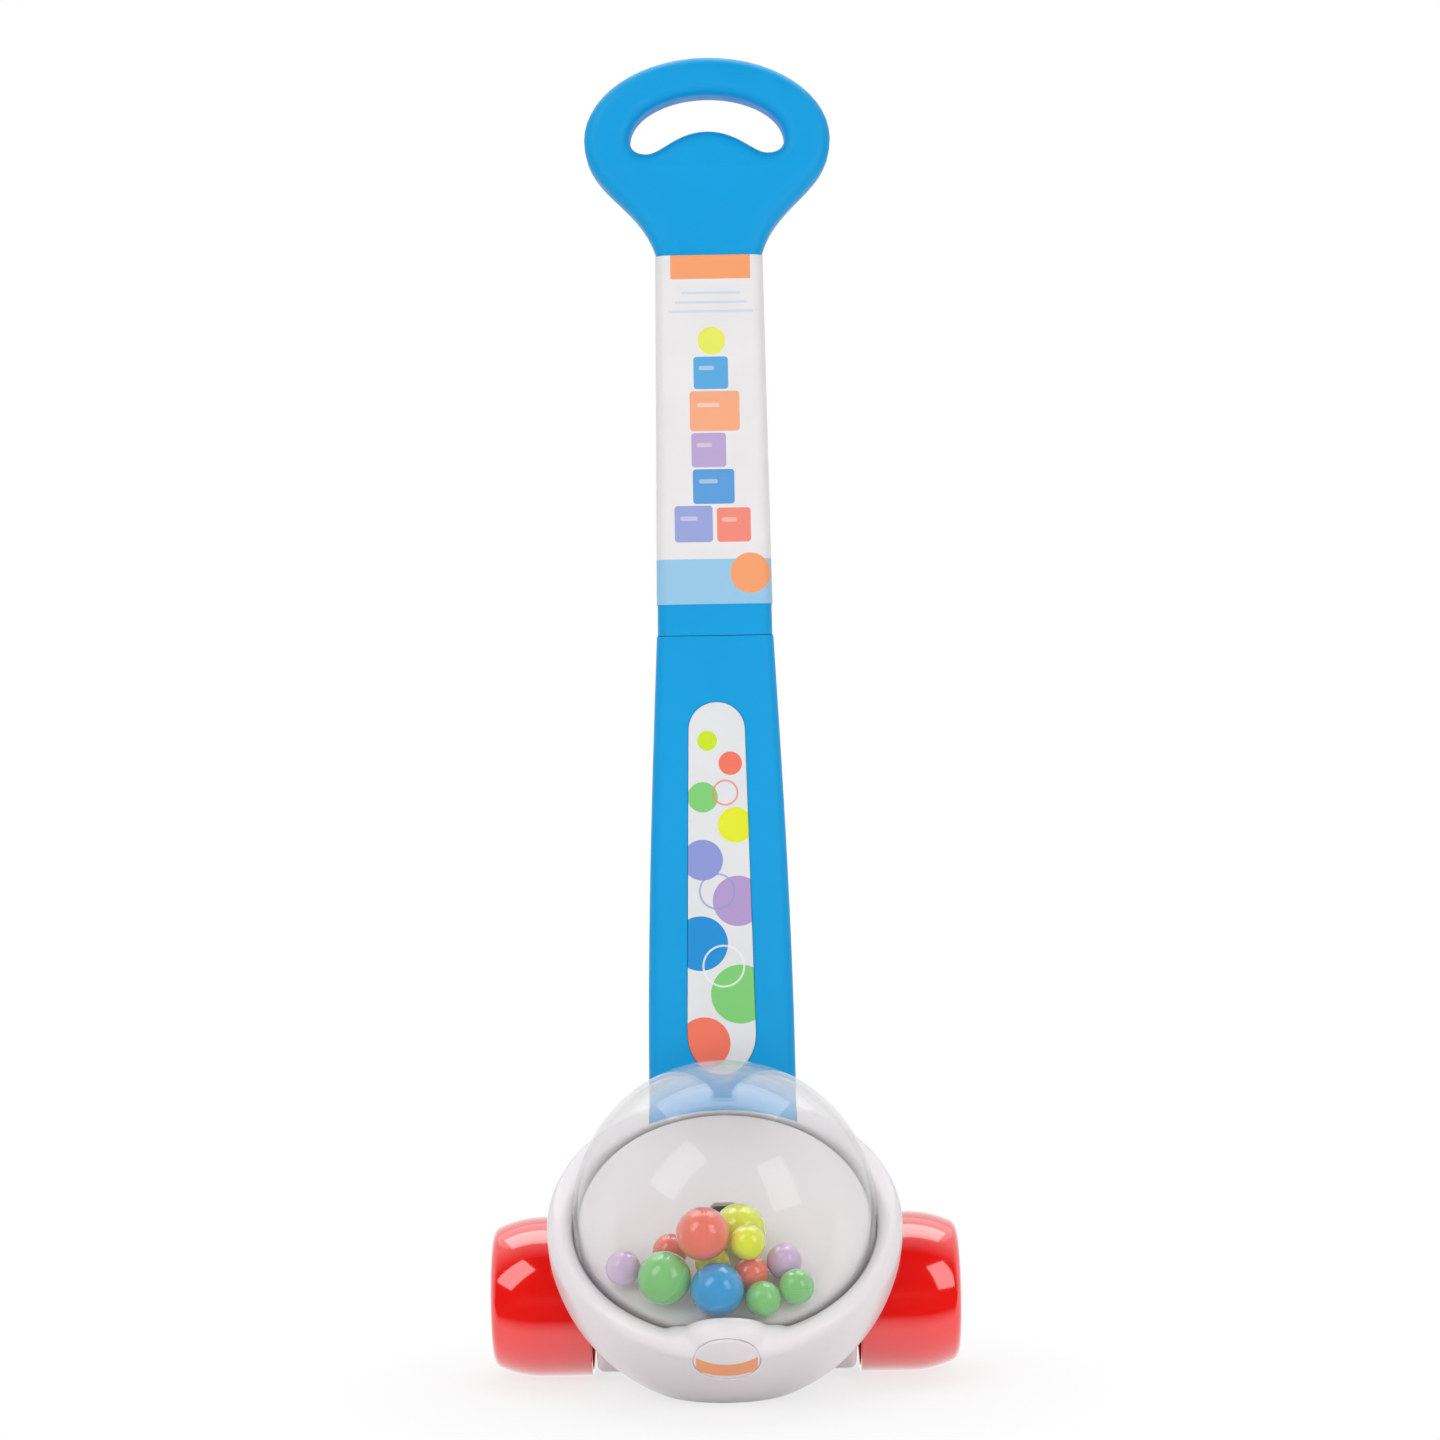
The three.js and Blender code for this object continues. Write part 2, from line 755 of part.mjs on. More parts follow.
// The larger gear, its teeth turned by half a step so that they mesh, with a thinner web.
function camGear() {
  const teeth = plate(gearOutline(gearTeeth, layRadius + gap), gearWidth);
  const turn = Math.PI + Math.PI / gearTeeth;
  const rim = gearModule * (gearTeeth / 2 - dedendumShare) - gearWeb;
  const recess = turned([
    [layRadius + gearWeb + gap, 0],
    [rim, 0],
    [rim, overrun],
    [layRadius + gearWeb + gap, overrun],
    [layRadius + gearWeb + gap, 0],
  ], 24).translate(0, 0, gearWidth / 2 - (gearWidth - gearWeb) / 2);
  const gear = geometryOf(solidOf(teeth.rotateZ(turn)).subtract(solidOf(recess)));
  const offset = gearInside + (pinionWidth - gearWidth) / 2 + gearWidth / 2;
  return sideways(gear).translate(offset, 0, 0);
}

function starCam() {
  const steps = 4;
  const outline = new THREE.Shape();
  for (let i = 0; i < camLobes * steps; i += 1) {
    const share = (i % steps) / steps;
    const radius = camRoot + (camTip - camRoot) * (1 - share);
    const angle = 2 * Math.PI * i / (camLobes * steps);
    const [x, y] = [radius * Math.cos(angle), radius * Math.sin(angle)];
    if (i === 0) outline.moveTo(x, y);
    else outline.lineTo(x, y);
  }
  outline.closePath();
  const hole = new THREE.Path();
  hole.absarc(0, 0, layRadius + gap, 0, 2 * Math.PI, true);
  outline.holes.push(hole);
  return sideways(plate(outline, 2 * camHalfWidth));
}

function camShaft() {
  return rod(layRadius, 2 * (plateOutside + gap), 16).rotateY(Math.PI / 2);
}

// Gearbox plates, with bores for the axle, the lay shaft and the striker's pin

const pillarFront = axleBack - gearTipRadius - 2 * slip - pillarRadius;
const pillarPlaces = [[pillarFront, layDepth], [plateBack - plateRound, layDepth]];

function gearboxPlate(sign) {
  const foot = coverTop + gap;
  const top = strikerPinHeight + plateCrest;
  const outline = rounded([
    [plateFront, foot],
    [plateBack, foot],
    [plateBack, top],
    [plateBack - plateShoulder, top],
    [plateFront, layDepth + plateNose],
  ], plateRound);
  const bore = (y, z, radius) => {
    const hole = new THREE.Path();
    hole.absarc(y, z, radius, 0, 2 * Math.PI, true);
    return hole;
  };
  outline.holes.push(bore(axleBack, axleDepth, axleRadius + gap));
  outline.holes.push(bore(axleBack, layDepth, layRadius + gap));
  outline.holes.push(bore(strikerReach, strikerPinHeight, strikerPinRadius + gap));
  for (const [y, z] of pillarPlaces) outline.holes.push(bore(y, z, screwRadius + gap));
  const middle = plateInside + plateThickness / 2;
  let solid = solidOf(sideways(plate(outline, plateThickness, 5)).translate(middle, 0, 0));
  const flange = block(plateInside + plateThickness / 2, plateOutside + plateFootWidth,
    plateFront + plateRound, plateBack - plateRound, foot, foot + plateThickness);
  solid = solid.add(solidOf(flange));
  const right = plateScrewPlaces.filter(([x]) => x > 0);
  for (const hole of screwHoles(right, screwHole, foot - overrun, foot + plateThickness + overrun)) {
    solid = solid.subtract(hole);
  }
  return geometryOf(sign > 0 ? solid : solid.mirror([1, 0, 0]));
}

function gearboxPillar([y, z]) {
  const half = plateInside - gap;
  const pillar = turned([
    [pillarBore, -half],
    [pillarRadius, -half],
    [pillarRadius, half],
    [pillarBore, half],
    [pillarBore, -half],
  ], 12);
  return pillar.rotateY(Math.PI / 2).translate(0, y, z);
}

// Striker, in a frame with its pin at the origin

function strikerLever() {
  const bottom = leverBottom - strikerPinHeight;
  const top = bottom + leverThickness;
  const headFoot = floorMiddle - headSink - headHeight - strikerPinHeight;
  const outline = new THREE.Shape();
  outline.moveTo(0, -leverHubRadius);
  outline.absarc(0, 0, leverHubRadius, -Math.PI / 2, Math.PI / 2, false);
  outline.quadraticCurveTo(-strikerReach / 3, leverHubRadius, -strikerReach / 3, top);
  outline.lineTo(postHalfWidth - strikerReach, top);
  outline.lineTo(postHalfWidth - strikerReach, headFoot);
  outline.lineTo(-postHalfWidth - strikerReach, headFoot);
  outline.lineTo(-postHalfWidth - strikerReach, bottom);
  outline.lineTo(-strikerReach / 3, bottom);
  outline.quadraticCurveTo(-leverHubRadius, bottom, 0, -leverHubRadius);
  const hole = new THREE.Path();
  hole.absarc(0, 0, strikerPinRadius + gap, 0, 2 * Math.PI, true);
  outline.holes.push(hole);
  return sideways(plate(outline, 2 * leverHalfWidth, 6));
}

function strikerHead() {
  const foot = floorMiddle - headSink - headHeight - strikerPinHeight + gap;
  const high = foot + headHeight - gap;
  return turned([
    [0, foot],
    [headRadius, foot],
    ...arcPoints(0, high - headRadius, Math.SQRT2 * headRadius, 45, 90, 3)
      .map(([radius, height]) => [radius, Math.min(height, high)]),
  ], 18).translate(0, -strikerReach, 0);
}

function strikerPin() {
  return rod(strikerPinRadius, 2 * (plateOutside + gap), 16).rotateY(Math.PI / 2);
}

// The return spring round the pin, beside the lever: one unbroken wire.
class SpringLine extends THREE.Curve {
  getPoint(share, target = new THREE.Vector3()) {
    const radius = strikerPinRadius + gap + springWire / 2 + gap;
    const start = leverHalfWidth + gap + springWire;
    const turn = 2 * Math.PI * springTurns * share;
    return target.set(start + springPitch * springTurns * share,
      -radius * Math.sin(turn), -radius * Math.cos(turn));
  }
}

function strikerSpring() {
  const section = new THREE.Shape();
  section.absarc(0, 0, springWire / 2, 0, 2 * Math.PI);
  return new THREE.ExtrudeGeometry(section, {
    steps: 8 * springTurns,
    extrudePath: new SpringLine(),
    bevelEnabled: false,
    curveSegments: 3,
  });
}

// Handle

// Half the width of the upper handle at a height: it narrows evenly from the seam to the neck.
function upperHalfWidth(height) {
  const share = (height - seamHeight) / (neckHeight - seamHeight);
  const foot = seamHalfWidth - seamStep;
  return foot + (neckHalfWidth - foot) * share;
}

// Half the width of the lower handle at a height: it swells from the seam to the socket.
function lowerHalfWidth(height) {
  const share = Math.min(1, (seamHeight - height) / (seamHeight - socketTop));
  return seamHalfWidth + (footHalfWidth - seamHalfWidth) * Math.sin(share * Math.PI / 2);
}

function lowerOutline(low, high, steps, narrower = 0) {
  const heights = Array.from({ length: steps + 1 }, (_, i) => low + (high - low) * i / steps);
  const right = heights.map((z) => new THREE.Vector2(lowerHalfWidth(z) - narrower, z));
  const left = heights.reverse().map((z) => new THREE.Vector2(narrower - lowerHalfWidth(z), z));
  return new THREE.Shape([...right, ...left]);
}

// The upper handle with its grip, from a height up, and the finger hole as the outline's hole.
function gripOutline(low) {
  const foot = upperHalfWidth(low);
  const outline = new THREE.Shape();
  const [flank, waist] = [gripMiddle - flankDrop, gripMiddle - waistDrop];
  const tuck = neckHalfWidth + neckTuck;
  outline.moveTo(-foot, low);
  outline.lineTo(foot, low);
  outline.lineTo(neckHalfWidth, neckHeight);
  outline.bezierCurveTo(tuck, waist, gripHalfWidth, flank, gripHalfWidth, gripMiddle);
  outline.absellipse(0, gripMiddle, gripHalfWidth, gripRise, 0, Math.PI);
  outline.bezierCurveTo(-gripHalfWidth, flank, -tuck, waist, -neckHalfWidth, neckHeight);
  outline.closePath();
  outline.holes.push(fingerHole());
  return outline;
}

function fingerHole() {
  const hole = new THREE.Path();
  const half = holeHalfWidth;
  const rise = gripRise - gripBar;
  const [lobe, outer, inner, crest] = holeShares.map((share) => share * half);
  const side = gripMiddle - holeDrop * sideShare;
  const low = gripMiddle - holeDrop;
  const bump = gripMiddle + holeBump;
  hole.moveTo(half, gripMiddle);
  hole.absellipse(0, gripMiddle, half, rise, 0, Math.PI);
  hole.bezierCurveTo(-half, side, -outer, low, -lobe, low);
  hole.bezierCurveTo(-inner, low, -crest, bump, 0, bump);
  hole.bezierCurveTo(crest, bump, inner, low, lobe, low);
  hole.bezierCurveTo(outer, low, half, side, half, gripMiddle);
  return hole;
}

// A body that trims the handle at the seam, its edge a shallow arc, lowered by drop.
function aboveSeam(drop) {
  const reach = gripHalfWidth + overrun;
  const low = seamHeight - drop;
  const outline = new THREE.Shape();
  outline.moveTo(-reach, low);
  outline.quadraticCurveTo(0, low - 2 * seamSag, reach, low);
  outline.lineTo(reach, gripTop + overrun);
  outline.lineTo(-reach, gripTop + overrun);
  outline.closePath();
  return solidOf(upright(plate(outline, 2 * handleThickness, 8)));
}

function aboveHeight(height) {
  const reach = gripHalfWidth + overrun;
  return solidOf(block(-reach, reach, -handleThickness, handleThickness, height, gripTop + overrun));
}

function labelOutline(grow) {
  const outline = new THREE.Shape();
  const [low, high] = [labelBottomHalfWidth + grow, labelTopHalfWidth + grow];
  outline.moveTo(low, labelBottom);
  outline.lineTo(high, labelTop);
  outline.absellipse(0, labelTop, high, labelTopArc + grow, 0, Math.PI);
  outline.lineTo(-low, labelBottom);
  outline.absellipse(0, labelBottom, low, labelBottomArc + grow, Math.PI, 2 * Math.PI);
  return outline;
}

const frontOfHandle = -handleThickness / 2;

function labelStrip() {
  const strip = upright(plate(labelOutline(0), labelThickness, 7));
  return strip.translate(0, frontOfHandle + labelRecess - gap - labelThickness / 2, 0);
}

function handleLower() {
  const ends = handleBevel + overrun;
  const outline = lowerOutline(handleFoot - ends, seamHeight + ends, 12);
  const longer = lowerOutline(handleFoot - 2 * ends, seamHeight + 2 * ends, 12);
  let solid = solidOf(upright(slab(outline, handleThickness, handleBevel)));
  solid = solid.subtract(solidOf(upright(slab(longer, handleThickness, handleBevel, handleWall))));
  const pocket = upright(plate(labelOutline(gap), 2 * labelRecess, 7)).translate(0, frontOfHandle, 0);
  solid = solid.subtract(solidOf(pocket)).subtract(aboveSeam(gap)).intersect(aboveHeight(handleFoot));
  const screwBore = upright(rod(screwHole, 2 * overrun, 12));
  screwBore.translate(0, handleThickness / 2, handleScrewHeight);
  const window = block(-lugWidth / 2 - slip, lugWidth / 2 + slip, 0, handleThickness,
    lugFoot - slip, lugFoot + lugHeight + slip);
  return solid.subtract(solidOf(screwBore)).subtract(solidOf(window));
}

const lugFoot = tongueFoot + lugHeight;

function handleUpper() {
  const low = seamHeight - handleBevel - overrun;
  let solid = solidOf(upright(slab(gripOutline(low), handleThickness, handleBevel)));
  solid = solid.intersect(aboveSeam(0)).add(tongue());
  const hollowFoot = tongueFoot - handleBevel - overrun;
  const deeper = solidOf(upright(slab(gripOutline(low), handleThickness, handleBevel, handleWall)));
  const step = handleWall + slip + tongueWall;
  const bore = lowerOutline(hollowFoot, seamHeight + step, 3, step);
  const boreThickness = handleThickness - 2 * step;
  const boreBody = solidOf(upright(plate(bore, boreThickness)));
  return solid.subtract(deeper.intersect(aboveHeight(seamHeight + handleWall))).subtract(boreBody);
}

// The hollow tongue that slides into the lower handle, with the snap lug on its back.
function tongue() {
  const step = handleWall + slip;
  const ends = handleBevel + overrun;
  const outline = lowerOutline(tongueFoot - ends, seamHeight + handleWall + ends, 3, 0);
  const body = solidOf(upright(slab(outline, handleThickness, handleBevel, step)));
  const reach = handleThickness / 2 - gap;
  const lug = block(-lugWidth / 2, lugWidth / 2, reach - step - tongueWall / 2, reach,
    lugFoot, lugFoot + lugHeight);
  const trimmed = body.intersect(aboveHeight(tongueFoot)).subtract(aboveHeight(seamHeight + handleWall));
  return trimmed.add(solidOf(lug));
}

function cardSleeve() {
  const ends = handleBevel + overrun;
  const grow = gap + cardThickness;
  const outline = sleeveOutline(sleeveBottom - ends, sleeveTop + ends, grow);
  const thick = handleThickness + 2 * grow;
  const outer = solidOf(upright(slab(outline, thick, handleBevel + grow)));
  const inner = solidOf(upright(slab(outline, thick, handleBevel + grow, cardThickness)));
  const layer = aboveHeight(sleeveBottom).subtract(aboveHeight(sleeveTop));
  return outer.subtract(inner).intersect(layer);
}

// The upper handle's sides between two heights, moved out by grow.
function sleeveOutline(low, high, grow) {
  const half = (height) => upperHalfWidth(Math.min(height, neckHeight)) + grow;
  return new THREE.Shape([
    new THREE.Vector2(-half(low), low),
    new THREE.Vector2(half(low), low),
    new THREE.Vector2(half(neckHeight), neckHeight),
    new THREE.Vector2(half(high), high),
    new THREE.Vector2(-half(high), high),
    new THREE.Vector2(-half(neckHeight), neckHeight),
  ]);
}

function badgePlate() {
  const button = slab(badgeOutline(0), badgeThickness, badgeBevel, 0, 10);
  return upright(button).translate(0, -badgeSeat - gap - badgeThickness / 2, badgeMiddle);
}

// Balls: places across, forward and above the floor, as shares of the dome's inner radius
const ballShares = [
  { name: 'green_large', size: largeBall, finish: 'green', across: -0.405, forward: 0.695, lift: 0 },
  { name: 'blue_large', size: largeBall, finish: 'blue', across: -0.055, forward: 0.803, lift: 0 },
  { name: 'yellow_large', size: largeBall, finish: 'yellow', across: 0.098, forward: 0.268, lift: 0 },
  { name: 'coral_large', size: largeBall, finish: 'coral', across: -0.147, forward: 0.522, lift: 0.238 },
  { name: 'coral_left', size: smallBall, finish: 'coral', across: -0.368, forward: 0.399, lift: 0 },
  { name: 'coral_right', size: smallBall, finish: 'coral', across: 0.17, forward: 0.606, lift: 0 },
  { name: 'purple_left', size: smallBall, finish: 'purple', across: -0.679, forward: 0.549, lift: 0 },
  { name: 'purple_right', size: smallBall, finish: 'purple', across: 0.392, forward: 0.506, lift: 0 },
  { name: 'green_front', size: smallBall, finish: 'green', across: 0.245, forward: 0.838, lift: 0 },
  { name: 'green_right', size: smallBall, finish: 'green', across: 0.468, forward: 0.737, lift: 0 },
  { name: 'yellow_front', size: smallBall, finish: 'yellow', across: -0.084, forward: 0.506, lift: 0 },
  { name: 'yellow_right', size: smallBall, finish: 'yellow', across: 0.151, forward: 0.544, lift: 0.234 },
];

// The scene graph

const toy = new THREE.Group();
const base = new THREE.Group();
const handle = new THREE.Group();
const axleLine = new THREE.Group();
const layLine = new THREE.Group();
const striker = new THREE.Group();
base.position.z = bowlHeight;
base.rotation.x = tilt;
handle.position.y = handleMiddle;
axleLine.position.set(0, axleBack, axleDepth);
layLine.position.set(0, axleBack, layDepth);
striker.position.set(0, strikerReach, strikerPinHeight);
toy.add(base, handle);
base.add(axleLine, layLine, striker);

function addPart(group, name, form, material) {
  const geometry = form.isBufferGeometry ? form : geometryOf(form);
  const mesh = new THREE.Mesh(geometry, material);
  mesh.name = name;
  group.add(mesh);
}

function addScrews(name, places, length, height) {
  places.forEach(([x, y], i) => {
    addPart(base, `${name}_${i + 1}`, screw(length).translate(x, y, height), steel);
  });
}

addPart(base, 'base_shell', baseShell(), white);
addPart(base, 'bottom_cover', bottomCover(), white);
addPart(base, 'badge_plate', badgePlate(), white);
addPart(base, 'dome', dome(), clear);
addPart(base, 'dome_floor', domeFloor(), white);
addScrews('cover_screw', coverScrewPlaces, bossHeight / 2, screwSeat - gap);
addScrews('gearbox_screw', plateScrewPlaces, 2 * coverThickness, screwSeat - gap);
addScrews('floor_screw', floorScrewPlaces, ledgeThickness + screwHeadHeight, ledgeBottom - gap);
addPart(base, 'gearbox_pillar_front', gearboxPillar(pillarPlaces[0]), grey);
addPart(base, 'gearbox_pillar_back', gearboxPillar(pillarPlaces[1]), grey);
for (const [side, sign] of [['left', -1], ['right', 1]]) {
  addPart(base, `axle_bush_${side}`, axleBush(sign), grey);
  addPart(base, `gearbox_plate_${side}`, gearboxPlate(sign), grey);
  addPart(axleLine, `wheel_${side}`, wheel(sign), red);
  addPart(axleLine, `axle_cap_${side}`, axleCap(sign), white);
}
addPart(axleLine, 'axle', axle(), steel);
addPart(axleLine, 'drive_pinion', drivePinion(), grey);
addPart(layLine, 'cam_shaft', camShaft(), steel);
addPart(layLine, 'cam_gear', camGear(), grey);
addPart(layLine, 'star_cam', starCam(), grey);
addPart(striker, 'striker_pin', strikerPin(), steel);
addPart(striker, 'striker_lever', strikerLever(), grey);
addPart(striker, 'striker_head', strikerHead(), white);
addPart(striker, 'striker_spring', strikerSpring(), steel);
addPart(handle, 'handle_lower', handleLower(), blue);
addPart(handle, 'handle_upper', handleUpper(), blue);
addPart(toy, 'handle_screw', handleScrew(), steel);
addPart(handle, 'label_strip', labelStrip(), label);
addPart(handle, 'card_sleeve', cardSleeve(), card);
for (const { name, size, finish: colour, across, forward, lift } of ballShares) {
  const reach = Math.hypot(across, forward) * domeInner / floorRadius;
  const ground = floorTop - floorDish * (1 - Math.min(1, reach));
  const ball = new THREE.IcosahedronGeometry(size, 2);
  ball.translate(across * domeInner, -forward * domeInner, ground + size + gap + lift * domeInner);
  addPart(base, `ball_${name}`, ball, ballFinishes[colour]);
}

// The origin lies on the floor, under the middle of the whole toy
toy.updateMatrixWorld(true);
const extent = new THREE.Box3().setFromObject(toy, true);
toy.position.y = -(extent.min.y + extent.max.y) / 2;
toy.updateMatrixWorld(true);

export default toy;
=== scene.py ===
"""Dresses a toddler's push toy, with balls under a clear dome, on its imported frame.

Every piece is in metres in the row frame: +X to the right, +Y to the back, +Z up, the floor at zero.
The bowl, its dome and what they hold are drawn in their own frame, with the dome's axis upright, and
are then tipped forward. The handle is drawn upright, behind the bowl's middle.
"""

from __future__ import annotations

import logging
import math
from collections.abc import Iterable, Sequence
from dataclasses import dataclass
from enum import Enum

import bmesh
import bpy
from mathutils import Matrix, Vector
from mathutils.geometry import interpolate_bezier

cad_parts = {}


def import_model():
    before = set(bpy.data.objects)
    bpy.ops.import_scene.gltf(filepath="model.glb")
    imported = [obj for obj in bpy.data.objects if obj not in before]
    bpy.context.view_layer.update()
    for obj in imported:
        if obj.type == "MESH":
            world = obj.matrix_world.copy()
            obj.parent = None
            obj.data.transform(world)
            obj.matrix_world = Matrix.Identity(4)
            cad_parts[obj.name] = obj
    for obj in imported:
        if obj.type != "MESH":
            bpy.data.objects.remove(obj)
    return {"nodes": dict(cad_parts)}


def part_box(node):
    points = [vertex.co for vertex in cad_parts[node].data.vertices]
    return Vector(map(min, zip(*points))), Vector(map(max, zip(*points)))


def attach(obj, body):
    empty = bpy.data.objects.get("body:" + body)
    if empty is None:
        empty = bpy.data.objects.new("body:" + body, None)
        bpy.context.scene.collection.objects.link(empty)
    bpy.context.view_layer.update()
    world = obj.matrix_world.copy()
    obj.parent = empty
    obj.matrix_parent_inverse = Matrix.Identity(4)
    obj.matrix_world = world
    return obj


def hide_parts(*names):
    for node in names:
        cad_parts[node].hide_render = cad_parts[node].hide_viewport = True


LOG = logging.getLogger("push_toy")
MM = 0.001
ARC_SHARE = 0.5522847  # of a radius: the handles of a quarter circle drawn as a Bezier curve
NOISE_RANGE = (0.3, 0.7)  # between which a noise nearly always stays
GAP = 0.3 * MM  # between pieces that touch
SLIP = 0.4 * MM  # round a piece that slides or drops into another
OVERRUN = 6 * MM  # how far a cutting body runs past the face that it opens
INK_EDGE = 0.05 * MM  # half the width over which a print's edge fades
FLOOR_SCREW_RING = 61.9 * MM  # radius of the circle on which the screws of the dome's floor stand

Pair = tuple[float, float]
Triple = tuple[float, float, float]
Knot = tuple[Pair, "Pair | None", "Pair | None"]


class Tint(Enum):
    """The toy's colours, as sRGB."""

    WARM_WHITE = "ebe5e7"
    FLOOR_WHITE = "e9e3e4"
    HANDLE_BLUE = "009fe0"
    WHEEL_RED = "fb0e06"
    CARD_WHITE = "ebe8e9"
    STRIP_WHITE = "e4e6e8"
    CLEAR = "f6f5f7"
    STEEL = "b4b7ba"
    GREY = "9a9da2"
    PALE_BLUE = "97c9e8"
    ORANGE = "f9a26c"
    CORAL = "f8775d"
    YELLOW = "e8ee22"
    LIME = "cfe81c"
    GREEN = "80d276"
    BLUE = "0590da"
    LAVENDER = "8c99d9"
    PURPLE = "b49bd0"
    LILAC = "d8b8dd"
    PAPER = "f4f2f1"
    FLOOR = "f4f4f4"

    def linear(self, gain: float = 1.0) -> tuple[float, float, float, float]:
        """The colour in Blender's linear space.

        Args:
            gain: factor on all three channels.

        Returns:
            Red, green, blue and an alpha of one.
        """
        levels = [int(self.value[i:i + 2], 16) / 255 for i in (0, 2, 4)]
        straight = [v / 12.92 if v <= 0.04045 else ((v + 0.055) / 1.055) ** 2.4 for v in levels]
        return (*(min(1.0, v * gain) for v in straight), 1.0)


class Cut(Enum):
    """How one solid changes another."""

    JOIN = "UNION"
    REMOVE = "DIFFERENCE"
    KEEP_COMMON = "INTERSECT"


# Finishes


class Nodes:
    """Short calls that add and join the nodes of a material or a world."""

    def __init__(self, tree: bpy.types.NodeTree) -> None:
        """Takes over a node tree."""
        self.tree = tree

    def add(self, kind: str, inputs: dict | None = None, **settings: object) -> bpy.types.Node:
        """Adds a node.

        Args:
            kind: the node's type.
            inputs: values or other nodes' outputs, by the input's name or number.
            settings: the node's own properties.

        Returns:
            The new node.
        """
        node = self.tree.nodes.new(kind)
        for key, value in settings.items():
            setattr(node, key, value)
        for key, value in (inputs or {}).items():
            if isinstance(value, bpy.types.NodeSocket):
                self.tree.links.new(value, node.inputs[key])
            else:
                node.inputs[key].default_value = value
        return node

    def ramp(self, value: object, start: float = 0.0, end: float = 1.0, low: object = 0.0, high: object = 1.0,
             **settings: object) -> bpy.types.NodeSocket:
        """Maps one range onto another."""
        inputs = {"Value": value, "From Min": start, "From Max": end, "To Min": low, "To Max": high}
        return self.add("ShaderNodeMapRange", inputs, **settings).outputs["Result"]

    def sums(self, operation: str, first: object, second: object = 0.0) -> bpy.types.NodeSocket:
        """One step of arithmetic on numbers or outputs."""
        return self.add("ShaderNodeMath", {0: first, 1: second}, operation=operation).outputs[0]

    def vector(self, operation: str, first: object, second: object = (0, 0, 0)) -> bpy.types.Node:
        """One step of vector arithmetic, as its node."""
        return self.add("ShaderNodeVectorMath", {0: first, 1: second}, operation=operation)

    def axes(self, source: bpy.types.NodeSocket) -> bpy.types.NodeOutputs:
        """The three parts of a vector."""
        return self.add("ShaderNodeSeparateXYZ", {0: source}).outputs


class NodeSheet(Nodes):
    """A material with a Principled shader."""

    def __init__(self, name: str) -> None:
        """Starts the material.

        Args:
            name: the material's name.
        """
        self.result = bpy.data.materials.new(name)
        self.result.use_nodes = True
        super().__init__(self.result.node_tree)
        self.shader = self.tree.nodes["Principled BSDF"]
        self.place = self.add("ShaderNodeTexCoord").outputs["Object"]

    def feed(self, socket: str, source: bpy.types.NodeSocket) -> None:
        """Joins an output to one of the shader's inputs."""
        self.tree.links.new(source, self.shader.inputs[socket])

    def levels(self, values: dict[str, object]) -> None:
        """Sets values that are the same all over on the shader's own inputs."""
        for socket, value in values.items():
            self.shader.inputs[socket].default_value = value

    def noise(self, scale: float, detail: float = 2.0) -> bpy.types.NodeSocket:
        """A noise between 0 and 1 over the piece, its scale in waves in a metre."""
        inputs = {"Vector": self.place, "Scale": scale, "Detail": detail}
        return self.add("ShaderNodeTexNoise", inputs).outputs["Fac"]

    def spread(self, scale: float, detail: float, low: float, high: float) -> bpy.types.NodeSocket:
        """A noise whose usual range is mapped onto another."""
        return self.ramp(self.noise(scale, detail), *NOISE_RANGE, low, high)

    def mix(self, share: object, under: object, over: object) -> bpy.types.NodeSocket:
        """Mixes two colours, by the share of the second one."""
        return self.add("ShaderNodeMix", {0: share, 6: under, 7: over}, data_type="RGBA").outputs[2]

    def bump(self, scale: float, depth: float, strength: float) -> None:
        """Gives the surface a fine relief, its depth in metres."""
        inputs = {"Height": self.noise(scale), "Distance": depth, "Strength": strength}
        self.feed("Normal", self.add("ShaderNodeBump", inputs).outputs["Normal"])


@dataclass(frozen=True)
class MouldedPlastic:
    """Opaque injection-moulded plastic: slight flow marks, a fine mould texture and a varied gloss."""

    name: str
    tint: Tint
    roughness: float
    texture_depth: float = 0.004 * MM
    coat: float = 0.0
    glow: float = 0.0
    shine: float = 0.5
    texture_scale: float = 900.0
    texture_strength: float = 0.6
    flow_scale: float = 14.0
    flow_tones: Pair = (0.965, 1.02)
    gloss_scale: float = 70.0
    gloss_range: Pair = (0.85, 1.15)
    glow_reach: Triple = (0.004, 0.003, 0.003)

    def material(self) -> bpy.types.Material:
        """Builds the finish.

        Returns:
            Its material.
        """
        sheet = NodeSheet(self.name)
        flow = sheet.spread(self.flow_scale, 3.0, 0.0, 1.0)
        sheet.feed("Base Color", sheet.mix(flow, *(self.tint.linear(tone) for tone in self.flow_tones)))
        low, high = (self.roughness * share for share in self.gloss_range)
        sheet.feed("Roughness", sheet.spread(self.gloss_scale, 4.0, low, high))
        sheet.bump(self.texture_scale, self.texture_depth, self.texture_strength)
        sheet.levels({
            "IOR": 1.49, "Specular IOR Level": self.shine, "Coat Weight": self.coat, "Coat Roughness": 0.03,
            "Subsurface Weight": self.glow, "Subsurface Radius": self.glow_reach, "Subsurface Scale": 1.0,
        })
        return sheet.result


